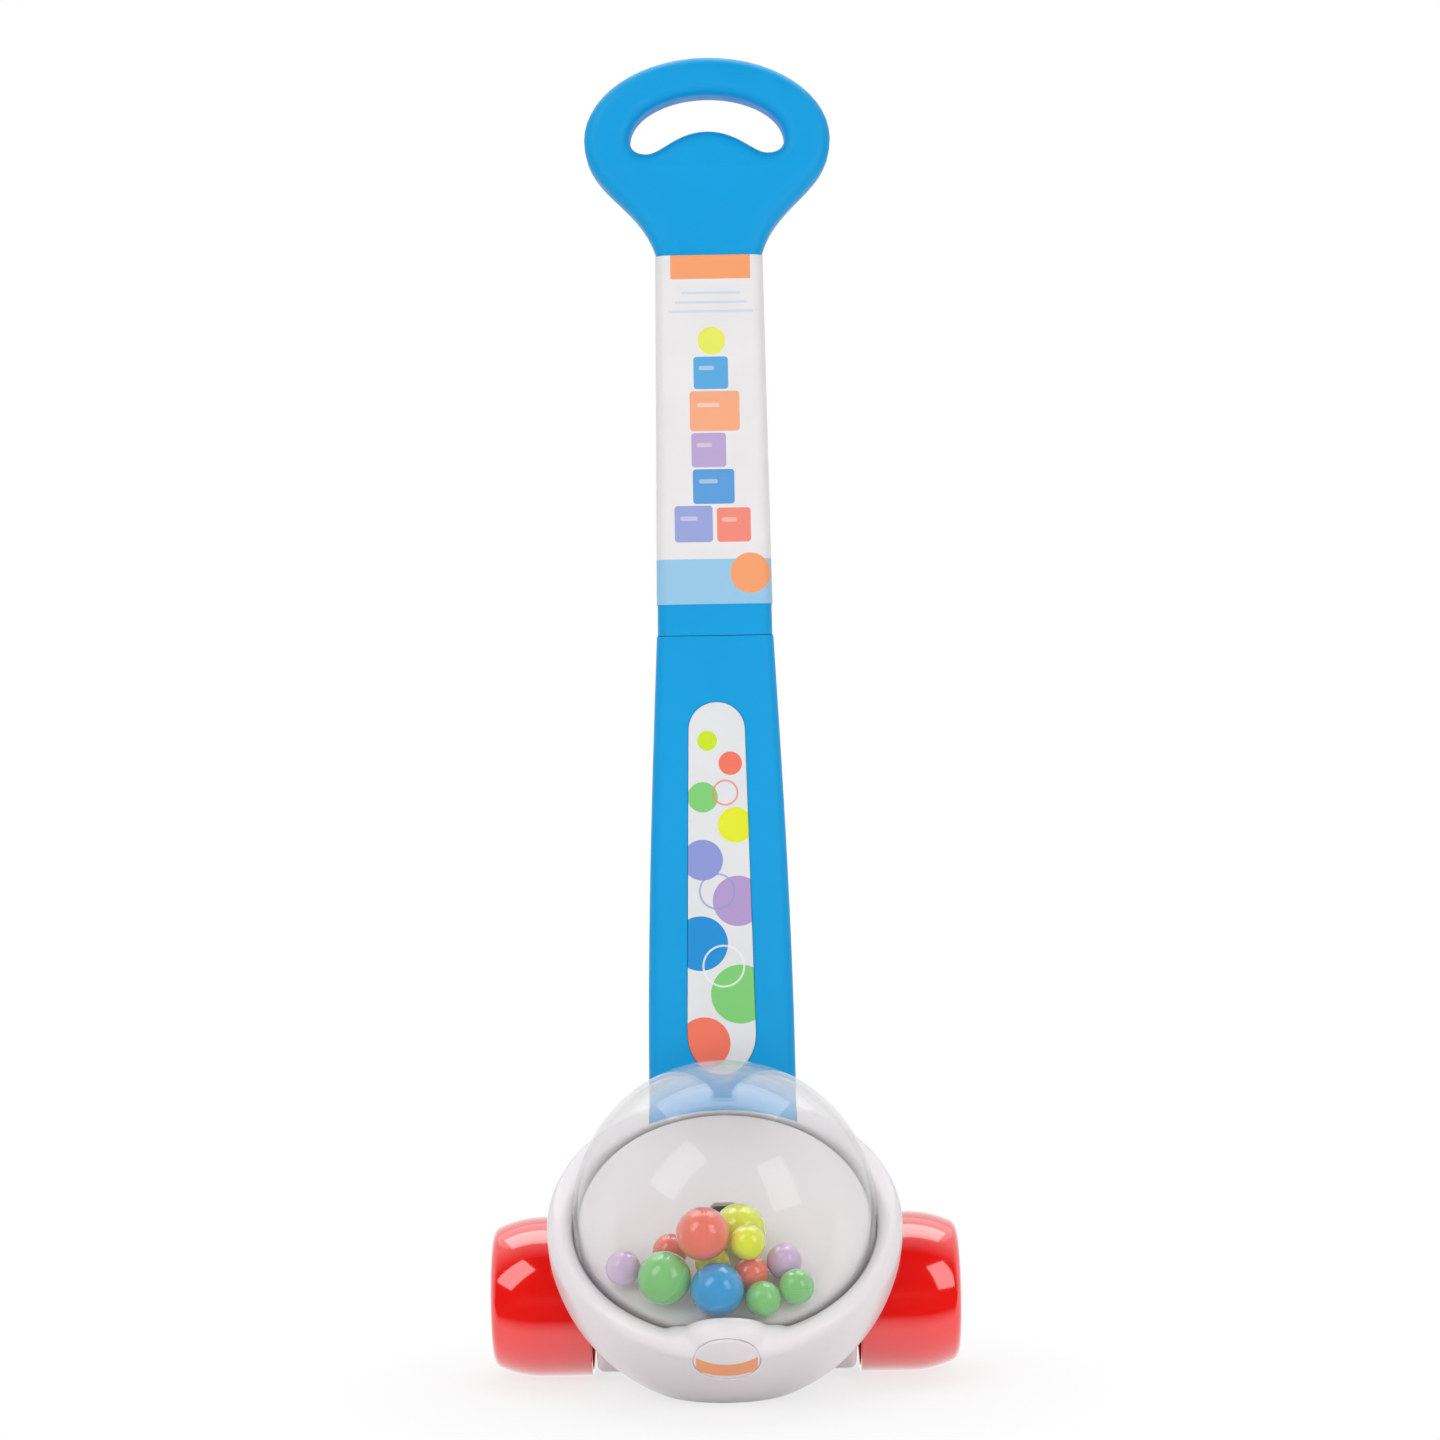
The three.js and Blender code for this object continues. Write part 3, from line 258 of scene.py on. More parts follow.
@dataclass(frozen=True)
class ClearPlastic:
    """Thin clear plastic: see-through face on, white and glossy towards its edge."""

    name: str
    tint: Tint
    face: float = 0.055
    rim: float = 0.62
    fall: float = 2.4
    face_tone: float = 0.8

    def material(self) -> bpy.types.Material:
        """Builds the finish.

        Returns:
            Its material.
        """
        sheet = NodeSheet(self.name)
        edge = sheet.add("ShaderNodeLayerWeight", {"Blend": 0.5}).outputs["Facing"]
        rise = sheet.sums("POWER", edge, self.fall)
        film = sheet.ramp(rise, low=self.face, high=self.rim)
        sheet.feed("Alpha", sheet.sums("MULTIPLY", film, sheet.spread(22.0, 2.0, 0.94, 1.06)))
        sheet.feed("Base Color", sheet.mix(rise, self.tint.linear(self.face_tone), self.tint.linear()))
        sheet.feed("Roughness", sheet.spread(40.0, 2.0, 0.02, 0.05))
        sheet.levels({"IOR": 2.2, "Specular IOR Level": 1.0, "Coat Weight": 1.0})
        sheet.result.surface_render_method = "BLENDED"
        return sheet.result


@dataclass(frozen=True)
class PlatedSteel:
    """Zinc-plated steel with faint turning marks."""

    name: str
    tint: Tint
    tones: Pair = (0.8, 1.1)
    roughness: Pair = (0.22, 0.42)
    mark_depth: float = 0.01 * MM

    def material(self) -> bpy.types.Material:
        """Builds the finish.

        Returns:
            Its material.
        """
        sheet = NodeSheet(self.name)
        cloud = sheet.spread(260.0, 3.0, 0.0, 1.0)
        sheet.feed("Base Color", sheet.mix(cloud, *(self.tint.linear(tone) for tone in self.tones)))
        sheet.feed("Roughness", sheet.spread(500.0, 2.0, *self.roughness))
        sheet.levels({"Metallic": 1.0})
        sheet.bump(1500.0, self.mark_depth, 0.4)
        return sheet.result


class PrintedSheet(NodeSheet):
    """A print of flat shapes laid over each other in the XZ plane; its sizes are in millimetres."""

    def __init__(self, name: str, ground: Tint, roughness: float, behind: float | None = None) -> None:
        """Starts a bare sheet.

        Args:
            name: the material's name.
            ground: the colour of the bare sheet.
            roughness: of its varnish.
            behind: the depth in metres behind which nothing is printed.
        """
        super().__init__(name)
        self.colour = self.mix(self.spread(40.0, 3.0, 0.0, 1.0), ground.linear(0.97), ground.linear(1.01))
        across, deep, high = self.axes(self.place)
        self.flat = self.add("ShaderNodeCombineXYZ", {0: across, 1: high}).outputs[0]
        self.printed = None if behind is None else self.sums("LESS_THAN", deep, behind)
        self.feed("Roughness", self.spread(90.0, 2.0, roughness * 0.9, roughness * 1.1))
        self.levels({"IOR": 1.46})

    def offset(self, centre: Pair) -> bpy.types.NodeSocket:
        """The offset in metres of each point from a place on the sheet."""
        return self.vector("SUBTRACT", self.flat, (centre[0] * MM, centre[1] * MM, 0)).outputs[0]

    def past(self, source: bpy.types.NodeSocket, radius: float) -> bpy.types.NodeSocket:
        """How far a vector is longer than a radius."""
        return self.sums("SUBTRACT", self.vector("LENGTH", source).outputs["Value"], radius * MM)

    def ink(self, distance: bpy.types.NodeSocket, tint: Tint, cover: float, everywhere: bool = False) -> None:
        """Lays a colour where a signed distance is negative, its edge a tenth of a millimetre wide.

        Args:
            distance: from the shape's edge, in metres.
            tint: the ink's colour.
            cover: how much it covers what is under it.
            everywhere: whether it goes round to the sheet's back.
        """
        mask = self.ramp(distance, -INK_EDGE, INK_EDGE, cover, 0.0)
        if self.printed and not everywhere:
            mask = self.sums("MULTIPLY", mask, self.printed)
        self.colour = self.mix(mask, self.colour, tint.linear())

    def disc(self, centre: Pair, radius: float, tint: Tint, cover: float = 1.0) -> None:
        """Prints a disc."""
        self.ink(self.past(self.offset(centre), radius), tint, cover)

    def ring(self, centre: Pair, radius: float, width: float, tint: Tint, cover: float) -> None:
        """Prints a thin ring, its radius that of the line's middle."""
        off = self.sums("ABSOLUTE", self.past(self.offset(centre), radius))
        self.ink(self.sums("SUBTRACT", off, width / 2 * MM), tint, cover)

    def bar(self, centre: Pair, half: Pair, corner: float, tint: Tint, cover: float = 1.0,
            everywhere: bool = False) -> None:
        """Prints a bar with rounded corners.

        Args:
            centre: its middle.
            half: half its width and half its height.
            corner: its corners' radius.
            tint: its colour.
            cover: how much it covers what is under it.
            everywhere: whether it goes round to the sheet's back.
        """
        folded = self.vector("ABSOLUTE", self.offset(centre)).outputs[0]
        core = ((half[0] - corner) * MM, (half[1] - corner) * MM, 1.0)
        over = self.vector("MAXIMUM", self.vector("SUBTRACT", folded, core).outputs[0]).outputs[0]
        self.ink(self.past(over, corner), tint, cover, everywhere)

    def bow(self, centre: Pair, radius: float, half: Pair, tint: Tint, cover: float) -> None:
        """Prints a bent bar, a short piece of a wide ring.

        Args:
            centre: the ring's middle.
            radius: of the bar's middle line.
            half: half its width and half its height.
            tint: its colour.
            cover: how much it covers what is under it.
        """
        offset = self.offset(centre)
        off = self.sums("ABSOLUTE", self.past(offset, radius))
        beside = self.sums("ABSOLUTE", self.axes(offset)[0])
        over = [self.sums("SUBTRACT", part, size * MM) for part, size in ((off, half[1]), (beside, half[0]))]
        self.ink(self.sums("MAXIMUM", *over), tint, cover)

    def material(self, relief: float = 0.0) -> bpy.types.Material:
        """Ends the print.

        Args:
            relief: depth of the sheet's own texture, in metres.

        Returns:
            The finished material.
        """
        self.feed("Base Color", self.colour)
        if relief:
            self.bump(1400.0, relief, 0.5)
        return self.result


class Finishes:
    """All the toy's materials, each built once."""

    def __init__(self, layout: Layout) -> None:
        """Builds the finishes.

        Args:
            layout: where the handle is, for the prints on its front.
        """
        self.white = MouldedPlastic("white_plastic", Tint.WARM_WHITE, 0.34, coat=0.15, glow=0.06).material()
        self.under_balls = MouldedPlastic("floor_plastic", Tint.FLOOR_WHITE, 0.4, glow=0.06).material()
        self.blue = MouldedPlastic("blue_plastic", Tint.HANDLE_BLUE, 0.46, 0.008 * MM, shine=0.25).material()
        self.red = MouldedPlastic("red_plastic", Tint.WHEEL_RED, 0.09, 0.002 * MM, coat=1.0, shine=0.9).material()
        self.grey = MouldedPlastic("grey_plastic", Tint.GREY, 0.5).material()
        self.steel = PlatedSteel("steel", Tint.STEEL).material()
        self.clear = ClearPlastic("clear_plastic", Tint.CLEAR).material()
        self.strip = self.strip_print()
        self.card = self.card_print(layout.handle_y)
        self.badge = self.badge_print()
        self.balls = {
            name: MouldedPlastic(f"{name}_ball", tint, 0.13, 0.001 * MM, coat=0.8, glow=0.1).material()
            for name, tint in (
                ("coral", Tint.CORAL), ("yellow", Tint.YELLOW), ("green", Tint.GREEN),
                ("blue", Tint.HANDLE_BLUE), ("purple", Tint.LILAC),
            )
        }

    @staticmethod
    def strip_print() -> bpy.types.Material:
        """The dotted label on the handle: a plain scatter of discs and rings that grow downwards.

        Returns:
            Its material.
        """
        sheet = PrintedSheet("strip_print", Tint.STRIP_WHITE, 0.42)
        for x, z, radius, tint in (
            (-4.5, 288.0, 4.6, Tint.LIME), (6.0, 277.5, 5.4, Tint.CORAL), (-7.0, 262.0, 7.0, Tint.GREEN),
            (8.0, 249.0, 8.2, Tint.YELLOW), (-7.5, 233.0, 9.4, Tint.LAVENDER), (8.5, 214.0, 11.6, Tint.PURPLE),
            (-9.0, 194.5, 12.6, Tint.BLUE), (9.0, 171.0, 13.6, Tint.GREEN), (-8.0, 148.5, 12.0, Tint.CORAL),
        ):
            sheet.disc((x, z), radius, tint)
        for x, z, radius, tint in (
            (3.5, 264.0, 5.6, Tint.CORAL), (-1.0, 218.5, 8.0, Tint.LAVENDER), (1.5, 184.0, 9.4, Tint.PAPER),
        ):
            sheet.ring((x, z), radius, 0.9, tint, 0.75)
        return sheet.material()

    @staticmethod
    def card_print(depth: float) -> bpy.types.Material:
        """The sleeve: a plain orange bar above, a tower of toy blocks, a pale blue band and an orange disc.

        Args:
            depth: the handle's middle, behind which the card is bare.

        Returns:
            Its material.
        """
        sheet = PrintedSheet("card_print", Tint.CARD_WHITE, 0.5, depth)
        sheet.bar((0.0, 361.0), (40.0, 10.8), 0.1, Tint.PALE_BLUE, everywhere=True)
        sheet.bar((0.5, 506.6), (18.4, 5.6), 0.3, Tint.ORANGE)
        for z, half in ((494.5, 13.5), (490.2, 16.5), (486.0, 19.5)):
            sheet.bar((0.5, z), (half, 0.55), 0.4, Tint.PALE_BLUE, 0.4)
        for x, z, half, high, tint in (
            (-9.0, 388.0, 8.8, 8.4, Tint.LAVENDER), (9.5, 387.5, 7.8, 7.9, Tint.CORAL),
            (0.5, 405.2, 9.6, 8.0, Tint.BLUE), (-1.5, 422.0, 8.0, 7.9, Tint.PURPLE),
            (1.5, 440.0, 11.5, 9.2, Tint.ORANGE), (0.0, 457.6, 8.0, 7.5, Tint.HANDLE_BLUE),
        ):
            sheet.bar((x, z), (half, high), 1.6, tint, 0.88)
            sheet.bar((x - half * 0.25, z + high * 0.3), (half * 0.45, 1.0), 0.9, Tint.PAPER, 0.35)
        sheet.disc((0.5, 472.4), 6.4, Tint.YELLOW, 0.88)
        sheet.disc((16.8, 365.2), 9.3, Tint.ORANGE)
        return sheet.material(0.01 * MM)

    @staticmethod
    def badge_print() -> bpy.types.Material:
        """The front plate: bare, with a plain orange band bent across its lower half.

        Returns:
            Its material.
        """
        sheet = PrintedSheet("badge_print", Tint.WARM_WHITE, 0.34)
        sheet.bow((0.0, 47.3), 28.0, (13.2, 2.8), Tint.ORANGE, 0.9)
        return sheet.material()


# Meshes


def tidy(bm: bmesh.types.BMesh, reach: float = 1e-7) -> bmesh.types.BMesh:
    """Joins corners that lie within reach of each other and turns the faces outwards.

    Args:
        bm: the mesh to tidy.
        reach: the distance, in metres.

    Returns:
        The same mesh.
    """
    bmesh.ops.remove_doubles(bm, verts=bm.verts, dist=reach)
    bmesh.ops.recalc_face_normals(bm, faces=bm.faces)
    return bm


def placed(bm: bmesh.types.BMesh, *steps: Matrix) -> bmesh.types.BMesh:
    """Moves a mesh by each matrix in turn.

    Args:
        bm: the mesh.
        steps: the matrices, the first one first.

    Returns:
        The same mesh.
    """
    for step in steps:
        bmesh.ops.transform(bm, matrix=step, verts=bm.verts)
    return bm


def turn(degrees: float, axis: str) -> Matrix:
    """A turn about X, Y or Z."""
    return Matrix.Rotation(math.radians(degrees), 4, axis)


def shift(x: float = 0.0, y: float = 0.0, z: float = 0.0) -> Matrix:
    """A shift to the right, to the back and up."""
    return Matrix.Translation((x, y, z))


def show(name: str, data: bpy.types.ID) -> bpy.types.Object:
    """Puts data into the scene.

    Args:
        name: the object's name.
        data: its mesh, curve, lamp or camera.

    Returns:
        The object.
    """
    item = bpy.data.objects.new(name, data)
    bpy.context.scene.collection.objects.link(item)
    return item


def made_from(bench: bpy.types.Object) -> bpy.types.Mesh:
    """The mesh that an object shows; the object is used up.

    Args:
        bench: the object, with its modifiers.

    Returns:
        The mesh.
    """
    graph = bpy.context.evaluated_depsgraph_get()
    mesh = bpy.data.meshes.new_from_object(bench.evaluated_get(graph))
    bpy.data.objects.remove(bench)
    return mesh


class Profile:
    """An outline in the XZ plane, drawn on from point to point."""

    def __init__(self, x: float, z: float) -> None:
        """Starts the outline.

        Args:
            x: the first point's place across.
            z: its height.
        """
        self.bm = bmesh.new()
        self.first = self.bm.verts.new((x, 0, z))
        self.last = self.first

    def line(self, *points: Pair) -> Profile:
        """Draws straight lines.

        Args:
            points: their ends, each a place across and a height.

        Returns:
            The outline, for the next call.
        """
        for x, z in points:
            corner = self.bm.verts.new((x, 0, z))
            self.bm.edges.new((self.last, corner))
            self.last = corner
        return self

    def arc(self, x: float, z: float, degrees: float, steps: int) -> Profile:
        """Turns the last point about a centre.

        Args:
            x: the centre's place across.
            z: the centre's height.
            degrees: the angle, positive from +X towards +Z.
            steps: number of edges.

        Returns:
            The outline, for the next call.
        """
        turned = bmesh.ops.spin(
            self.bm, geom=[self.last], cent=(x, 0, z), axis=(0, -1, 0), angle=math.radians(degrees),
            steps=steps, use_duplicate=False,
        )
        self.last = next(item for item in turned["geom_last"] if isinstance(item, bmesh.types.BMVert))
        return self

    def sweep(self, pull_out: Pair, pull_in: Pair, end: Pair, steps: int) -> Profile:
        """Draws a Bezier curve.

        Args:
            pull_out: the handle at its start.
            pull_in: the handle at its end.
            end: its end.
            steps: number of edges.

        Returns:
            The outline, for the next call.
        """
        start = Vector((self.last.co.x, 0, self.last.co.z))
        handles = [Vector((x, 0, z)) for x, z in (pull_out, pull_in, end)]
        return self.line(*((p.x, p.z) for p in interpolate_bezier(start, *handles, steps + 1)[1:]))

    def close(self) -> Profile:
        """Joins the last point to the first."""
        self.bm.edges.new((self.last, self.first))
        return self

    def spun(self, steps: int) -> bmesh.types.BMesh:
        """Turns the outline round Z.

        Args:
            steps: number of sides.

        Returns:
            The closed mesh.
        """
        bmesh.ops.spin(
            self.bm, geom=[*self.bm.verts, *self.bm.edges], cent=(0, 0, 0), axis=(0, 0, 1),
            angle=math.tau, steps=steps, use_merge=True, use_duplicate=False,
        )
        return tidy(self.bm)


class Solid:
    """A closed mesh that others join, cut or trim."""

    def __init__(self, bm: bmesh.types.BMesh) -> None:
        """Takes over a mesh under construction, which is used up.

        Args:
            bm: the mesh.
        """
        self.mesh = bpy.data.meshes.new("solid")
        bm.to_mesh(self.mesh)
        bm.free()

    @classmethod
    def cylinder(cls, radius: float, length: float, sides: int, *steps: Matrix) -> Solid:
        """A cylinder along Z, centred and then moved.

        Args:
            radius: its radius.
            length: its length.
            sides: its number of sides.
            steps: where it goes.

        Returns:
            The solid.
        """
        bm = bmesh.new()
        bmesh.ops.create_cone(bm, cap_ends=True, segments=sides, radius1=radius, radius2=radius, depth=length)
        return cls(placed(bm, *steps))

    @classmethod
    def block(cls, low: Triple, high: Triple, *steps: Matrix) -> Solid:
        """A block between two corners, then moved.

        Args:
            low: its lowest corner.
            high: its highest corner.
            steps: where it goes.

        Returns:
            The solid.
        """
        bm = bmesh.new()
        size = [b - a for a, b in zip(low, high)]
        middle = [(a + b) / 2 for a, b in zip(low, high)]
        bmesh.ops.create_cube(bm, size=1.0, matrix=Matrix.Translation(middle) @ Matrix.Diagonal((*size, 1)))
        return cls(placed(bm, *steps))

    def through(self, kind: str, **settings: object) -> Solid:
        """Replaces the mesh by what a modifier makes of it.

        Args:
            kind: the modifier's type.
            settings: its properties.

        Returns:
            This solid, changed.
        """
        bench = show("bench", self.mesh)
        modifier = bench.modifiers.new("step", kind)
        for key, value in settings.items():
            setattr(modifier, key, value)
        before, self.mesh = self.mesh, made_from(bench)
        bpy.data.meshes.remove(before)
        return self

    def change(self, cut: Cut, *others: Solid) -> Solid:
        """Joins, cuts or trims this solid.

        Args:
            cut: what the others do to it.
            others: the other solids, which are used up.

        Returns:
            This solid, changed.
        """
        for other in others:
            tool = show("tool", other.mesh)
            self.through("BOOLEAN", operation=cut.value, solver="MANIFOLD", object=tool)
            bpy.data.objects.remove(tool)
            bpy.data.meshes.remove(other.mesh)
        return self

    def softened(self, voxel: float, rounds: int, limit: int) -> Solid:
        """Melts the solid's edges and inner corners, as a mould rounds them.

        Args:
            voxel: size of the cells that it is rebuilt from, in metres.
            rounds: how often each corner moves towards its neighbours.
            limit: most triangles to keep.

        Returns:
            This solid, changed.
        """
        self.through("REMESH", mode="VOXEL", voxel_size=voxel).through("SMOOTH", factor=0.5, iterations=rounds)
        triangles = sum(len(p.vertices) - 2 for p in self.mesh.polygons)
        return self.through("DECIMATE", ratio=min(1.0, limit / triangles))

    def copy(self) -> Solid:
        """Another solid of the same shape.

        Returns:
            The copy.
        """
        bm = bmesh.new()
        bm.from_mesh(self.mesh)
        return Solid(bm)

    def bm(self, *steps: Matrix) -> bmesh.types.BMesh:
        """Turns the solid into a mesh under construction; the solid is used up.

        Args:
            steps: where it goes.

        Returns:
            The mesh.
        """
        bm = bmesh.new()
        bm.from_mesh(self.mesh)
        bpy.data.meshes.remove(self.mesh)
        return placed(bm, *steps)

    def moved(self, *steps: Matrix) -> Solid:
        """Moves the solid.

        Args:
            steps: where it goes.

        Returns:
            This solid, moved.
        """
        for step in steps:
            self.mesh.transform(step)
        return self


class Outline:
    """A flat outline of curves in the XZ plane, from which plates with rounded edges are made."""

    def __init__(self) -> None:
        """Starts with no loop."""
        self.data = bpy.data.curves.new("outline", "CURVE")
        self.data.dimensions = "2D"
        self.data.fill_mode = "BOTH"
        self.data.resolution_u = 14

    def loop(self, knots: Iterable[Knot]) -> Outline:
        """Adds a closed loop.

        Args:
            knots: each point with its handles before and after it, None for a straight side.

        Returns:
            The outline, for the next call.
        """
        knots = list(knots)
        spline = self.data.splines.new("BEZIER")
        spline.bezier_points.add(len(knots) - 1)
        spline.use_cyclic_u = True
        for point, (place, before, after) in zip(spline.bezier_points, knots):
            point.handle_left_type = "FREE" if before else "VECTOR"
            point.handle_right_type = "FREE" if after else "VECTOR"
            point.co = (*place, 0)
            point.handle_left = (*(before or place), 0)
            point.handle_right = (*(after or place), 0)
        return self

    def rounded(self, corners: Sequence[Pair], radius: float) -> Outline:
        """Adds a closed loop of straight lines with rounded corners.

        Args:
            corners: its corners.
            radius: how far from each corner its rounding starts.

        Returns:
            The outline, for the next call.
        """
        here = [Vector(corner) for corner in corners]
        knots: list[Knot] = []
        for before, corner, after in zip(here[-1:] + here[:-1], here, here[1:] + here[:1]):
            start = corner + (before - corner).normalized() * radius
            end = corner + (after - corner).normalized() * radius
            knots.append((tuple(start), None, tuple(start.lerp(corner, ARC_SHARE))))
            knots.append((tuple(end), tuple(end.lerp(corner, ARC_SHARE)), None))
        return self.loop(knots)

    def ellipse(self, half: float, high: float) -> Outline:
        """Adds an ellipse round the middle.

        Args:
            half: half its width.
            high: half its height.

        Returns:
            The outline, for the next call.
        """
        a, h = ARC_SHARE * half, ARC_SHARE * high
        return self.loop([
            ((half, 0), (half, -h), (half, h)), ((0, high), (a, high), (-a, high)),
            ((-half, 0), (-half, h), (-half, -h)), ((0, -high), (-a, -high), (a, -high)),
        ])

    def plate(self, thickness: float, edge: float = 0.0, inset: float = 0.0, steps: int = 5) -> Solid:
        """A plate centred on Y.

        Args:
            thickness: along Y.
            edge: rounding of its edges.
            inset: how far it is drawn in on every side.
            steps: number of segments in a rounding.

        Returns:
            The plate.
        """
        self.data.extrude = thickness / 2 - edge
        self.data.bevel_depth = edge - inset if edge else 0.0
        self.data.bevel_resolution = steps
        self.data.offset = -edge
        mesh = made_from(show("bench", self.data))
        bm = bmesh.new()
        bm.from_mesh(mesh)
        bpy.data.meshes.remove(mesh)
        return Solid(tidy(placed(bm, turn(90, "X")), 1e-6))


def slab(half: float, low: Pair, high: Pair, corner: float) -> Solid:
    """An upright block, its upright edges rounded, from (-back, lower end) to (-front, upper end)."""
    outline = Outline().rounded([(-half, low[0]), (half, low[0]), (half, high[0]), (-half, high[0])], corner)
    return outline.plate(high[1] - low[1]).moved(turn(90, "X"), shift(0, 0, (low[1] + high[1]) / 2))


# Layout and what every sub-assembly shares


@dataclass(frozen=True)
class Layout:
    """Where the toy's main lines lie, in metres; its places are in the bowl's own frame."""

    axle_y: float
    axle_z: float
    tilt: float = 39.0
    axle_behind: float = 44 * MM
    mouth_height: float = 73.6 * MM
    bowl_radius: float = 79 * MM
    rim: float = 5.7 * MM
    dome_rise: float = 8 * MM
    skirt: float = 6 * MM
    housing_half: float = 58.2 * MM
    wheel_radius: float = 36 * MM
    handle_thickness: float = 24 * MM
    handle_inset: float = 17.5 * MM
    handle_edge: float = 6 * MM
    foot_half: float = 34 * MM
    foot_height: float = 72 * MM
    socket_top: float = 112 * MM
    socket_wall: float = 3 * MM
    seam_height: float = 338 * MM
    toe_half: float = 33.4 * MM
    toe_front: float = 69.2 * MM
    toe_bottom: float = -3 * MM
    toe_top: float = 2 * MM
    toe_root: float = 1.5 * MM
    toe_corner: float = 4 * MM
    screw_hole: float = 1.8 * MM
    screw_head: float = 3 * MM
    head_height: float = 1.8 * MM
    cover_screws: tuple[Pair, ...] = tuple((side * 52 * MM, back * MM) for side in (-1, 1) for back in (-14, 36))
    gearbox_screws: tuple[Pair, ...] = tuple(
        (side * 22.9 * MM, back * MM) for side in (-1, 1) for back in (-6.97, 33)
    )
    floor_screws: tuple[Pair, ...] = tuple(
        (FLOOR_SCREW_RING * math.cos(math.radians(a)), FLOOR_SCREW_RING * math.sin(math.radians(a)))
        for a in (-30, 90, 210)
    )

    @classmethod
    def from_frame(cls) -> Layout:
        """Reads the axle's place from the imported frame."""
        low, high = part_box("axle")
        return cls(axle_y=(low[1] + high[1]) / 2, axle_z=(low[2] + high[2]) / 2)

    @property
    def centre_y(self) -> float:
        """Place of the bowl's middle."""
        return self.axle_y - self.axle_behind

    @property
    def handle_front(self) -> float:
        """Front of the handle, behind the bowl's middle."""
        return self.bowl_radius - self.handle_inset

    @property
    def handle_back(self) -> float:
        """Back of the handle, behind the bowl's middle."""
        return self.handle_front + self.handle_thickness

    @property
    def handle_y(self) -> float:
        """Place of the handle's middle."""
        return self.centre_y + self.handle_front + self.handle_thickness / 2

    @property
    def handle_screw_height(self) -> float:
        """Height of the screw that holds the handle."""
        return (self.foot_height + self.socket_top) / 2

    @property
    def socket_reach(self) -> float:
        """How far the socket's outside stands off the handle."""
        return SLIP + self.socket_wall

    @property
    def mouth(self) -> float:
        """Radius of the bowl's mouth."""
        return self.bowl_radius - 2 * self.rim

    @property
    def far(self) -> float:
        """A length that runs past the bowl on every side."""
        return 2 * self.bowl_radius

    @property
    def ledge_top(self) -> float:
        """Height of the ledge under the dome, from the mouth."""
        return -self.skirt - GAP

    @property
    def tip(self) -> Matrix:
        """From the bowl's own frame into the row frame."""
        return shift(0, self.centre_y, self.mouth_height) @ turn(self.tilt, "X")

    @property
    def upright(self) -> Matrix:
        """From the frame under the bowl's middle into the row frame."""
        return shift(0, self.centre_y, 0)

    @property
    def untip(self) -> Matrix:
        """From the frame under the bowl's middle into the bowl's own."""
        return turn(-self.tilt, "X") @ shift(0, 0, -self.mouth_height)

    @property
    def axle_in_bowl(self) -> Pair:
        """The axle's place across and up in the bowl's own frame."""
        place = self.untip @ Vector((0, self.axle_behind, self.axle_z))
        return place.y, place.z

    def toe(self, grow: float) -> Solid:
        """The tongue at the handle's front, which lies in the ring behind the dome.

        Args:
            grow: how much larger it is on every side, for its recess in the ring.

        Returns:
            The solid in the bowl's own frame.
        """
        high = self.toe_top if not grow else OVERRUN
        solid = slab(self.toe_half + grow, (-self.far, self.toe_bottom - grow), (0, high), self.toe_corner)
        back = self.handle_front + self.toe_root
        behind = Solid.block((-self.far, back, -self.far), (self.far, 2 * self.far, 2 * self.far), self.untip)
        return solid.change(Cut.REMOVE, Solid.cylinder(self.toe_front - grow, self.far, 160), behind)


@dataclass(frozen=True)
class SubAssembly:
    """What every sub-assembly shares: its finishes, its layout, the frame's nodes and how a piece is mounted."""

    finishes: Finishes
    layout: Layout
    nodes: dict[str, bpy.types.Object]

    def mount(self, bm: bmesh.types.BMesh, name: str, material: bpy.types.Material, slot: str,
              node: str, body: str = "toy", crease: float = 32.0) -> None:
        """Finishes a piece and puts it on its body in place of a node.

        Args:
            bm: the piece's mesh, already in the row frame.
            name: the piece's name.
            material: its finish.
            slot: not used.
            node: the node that it stands for.
            body: the body that it moves with.
            crease: the least angle of an edge that stays sharp, in degrees.
        """
        mesh = bpy.data.meshes.new(name)
        bm.to_mesh(mesh)
        bm.free()
        piece = show(name, mesh)
        mesh.materials.clear()
        mesh.materials.append(material)
        mesh.shade_smooth()
        mesh.set_sharp_from_angle(angle=math.radians(crease))
        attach(piece, body)
        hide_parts(node)
        LOG.info("%s: %d faces, rides on %s", name, len(mesh.polygons), body)


# The bowl, its cover and its front plate


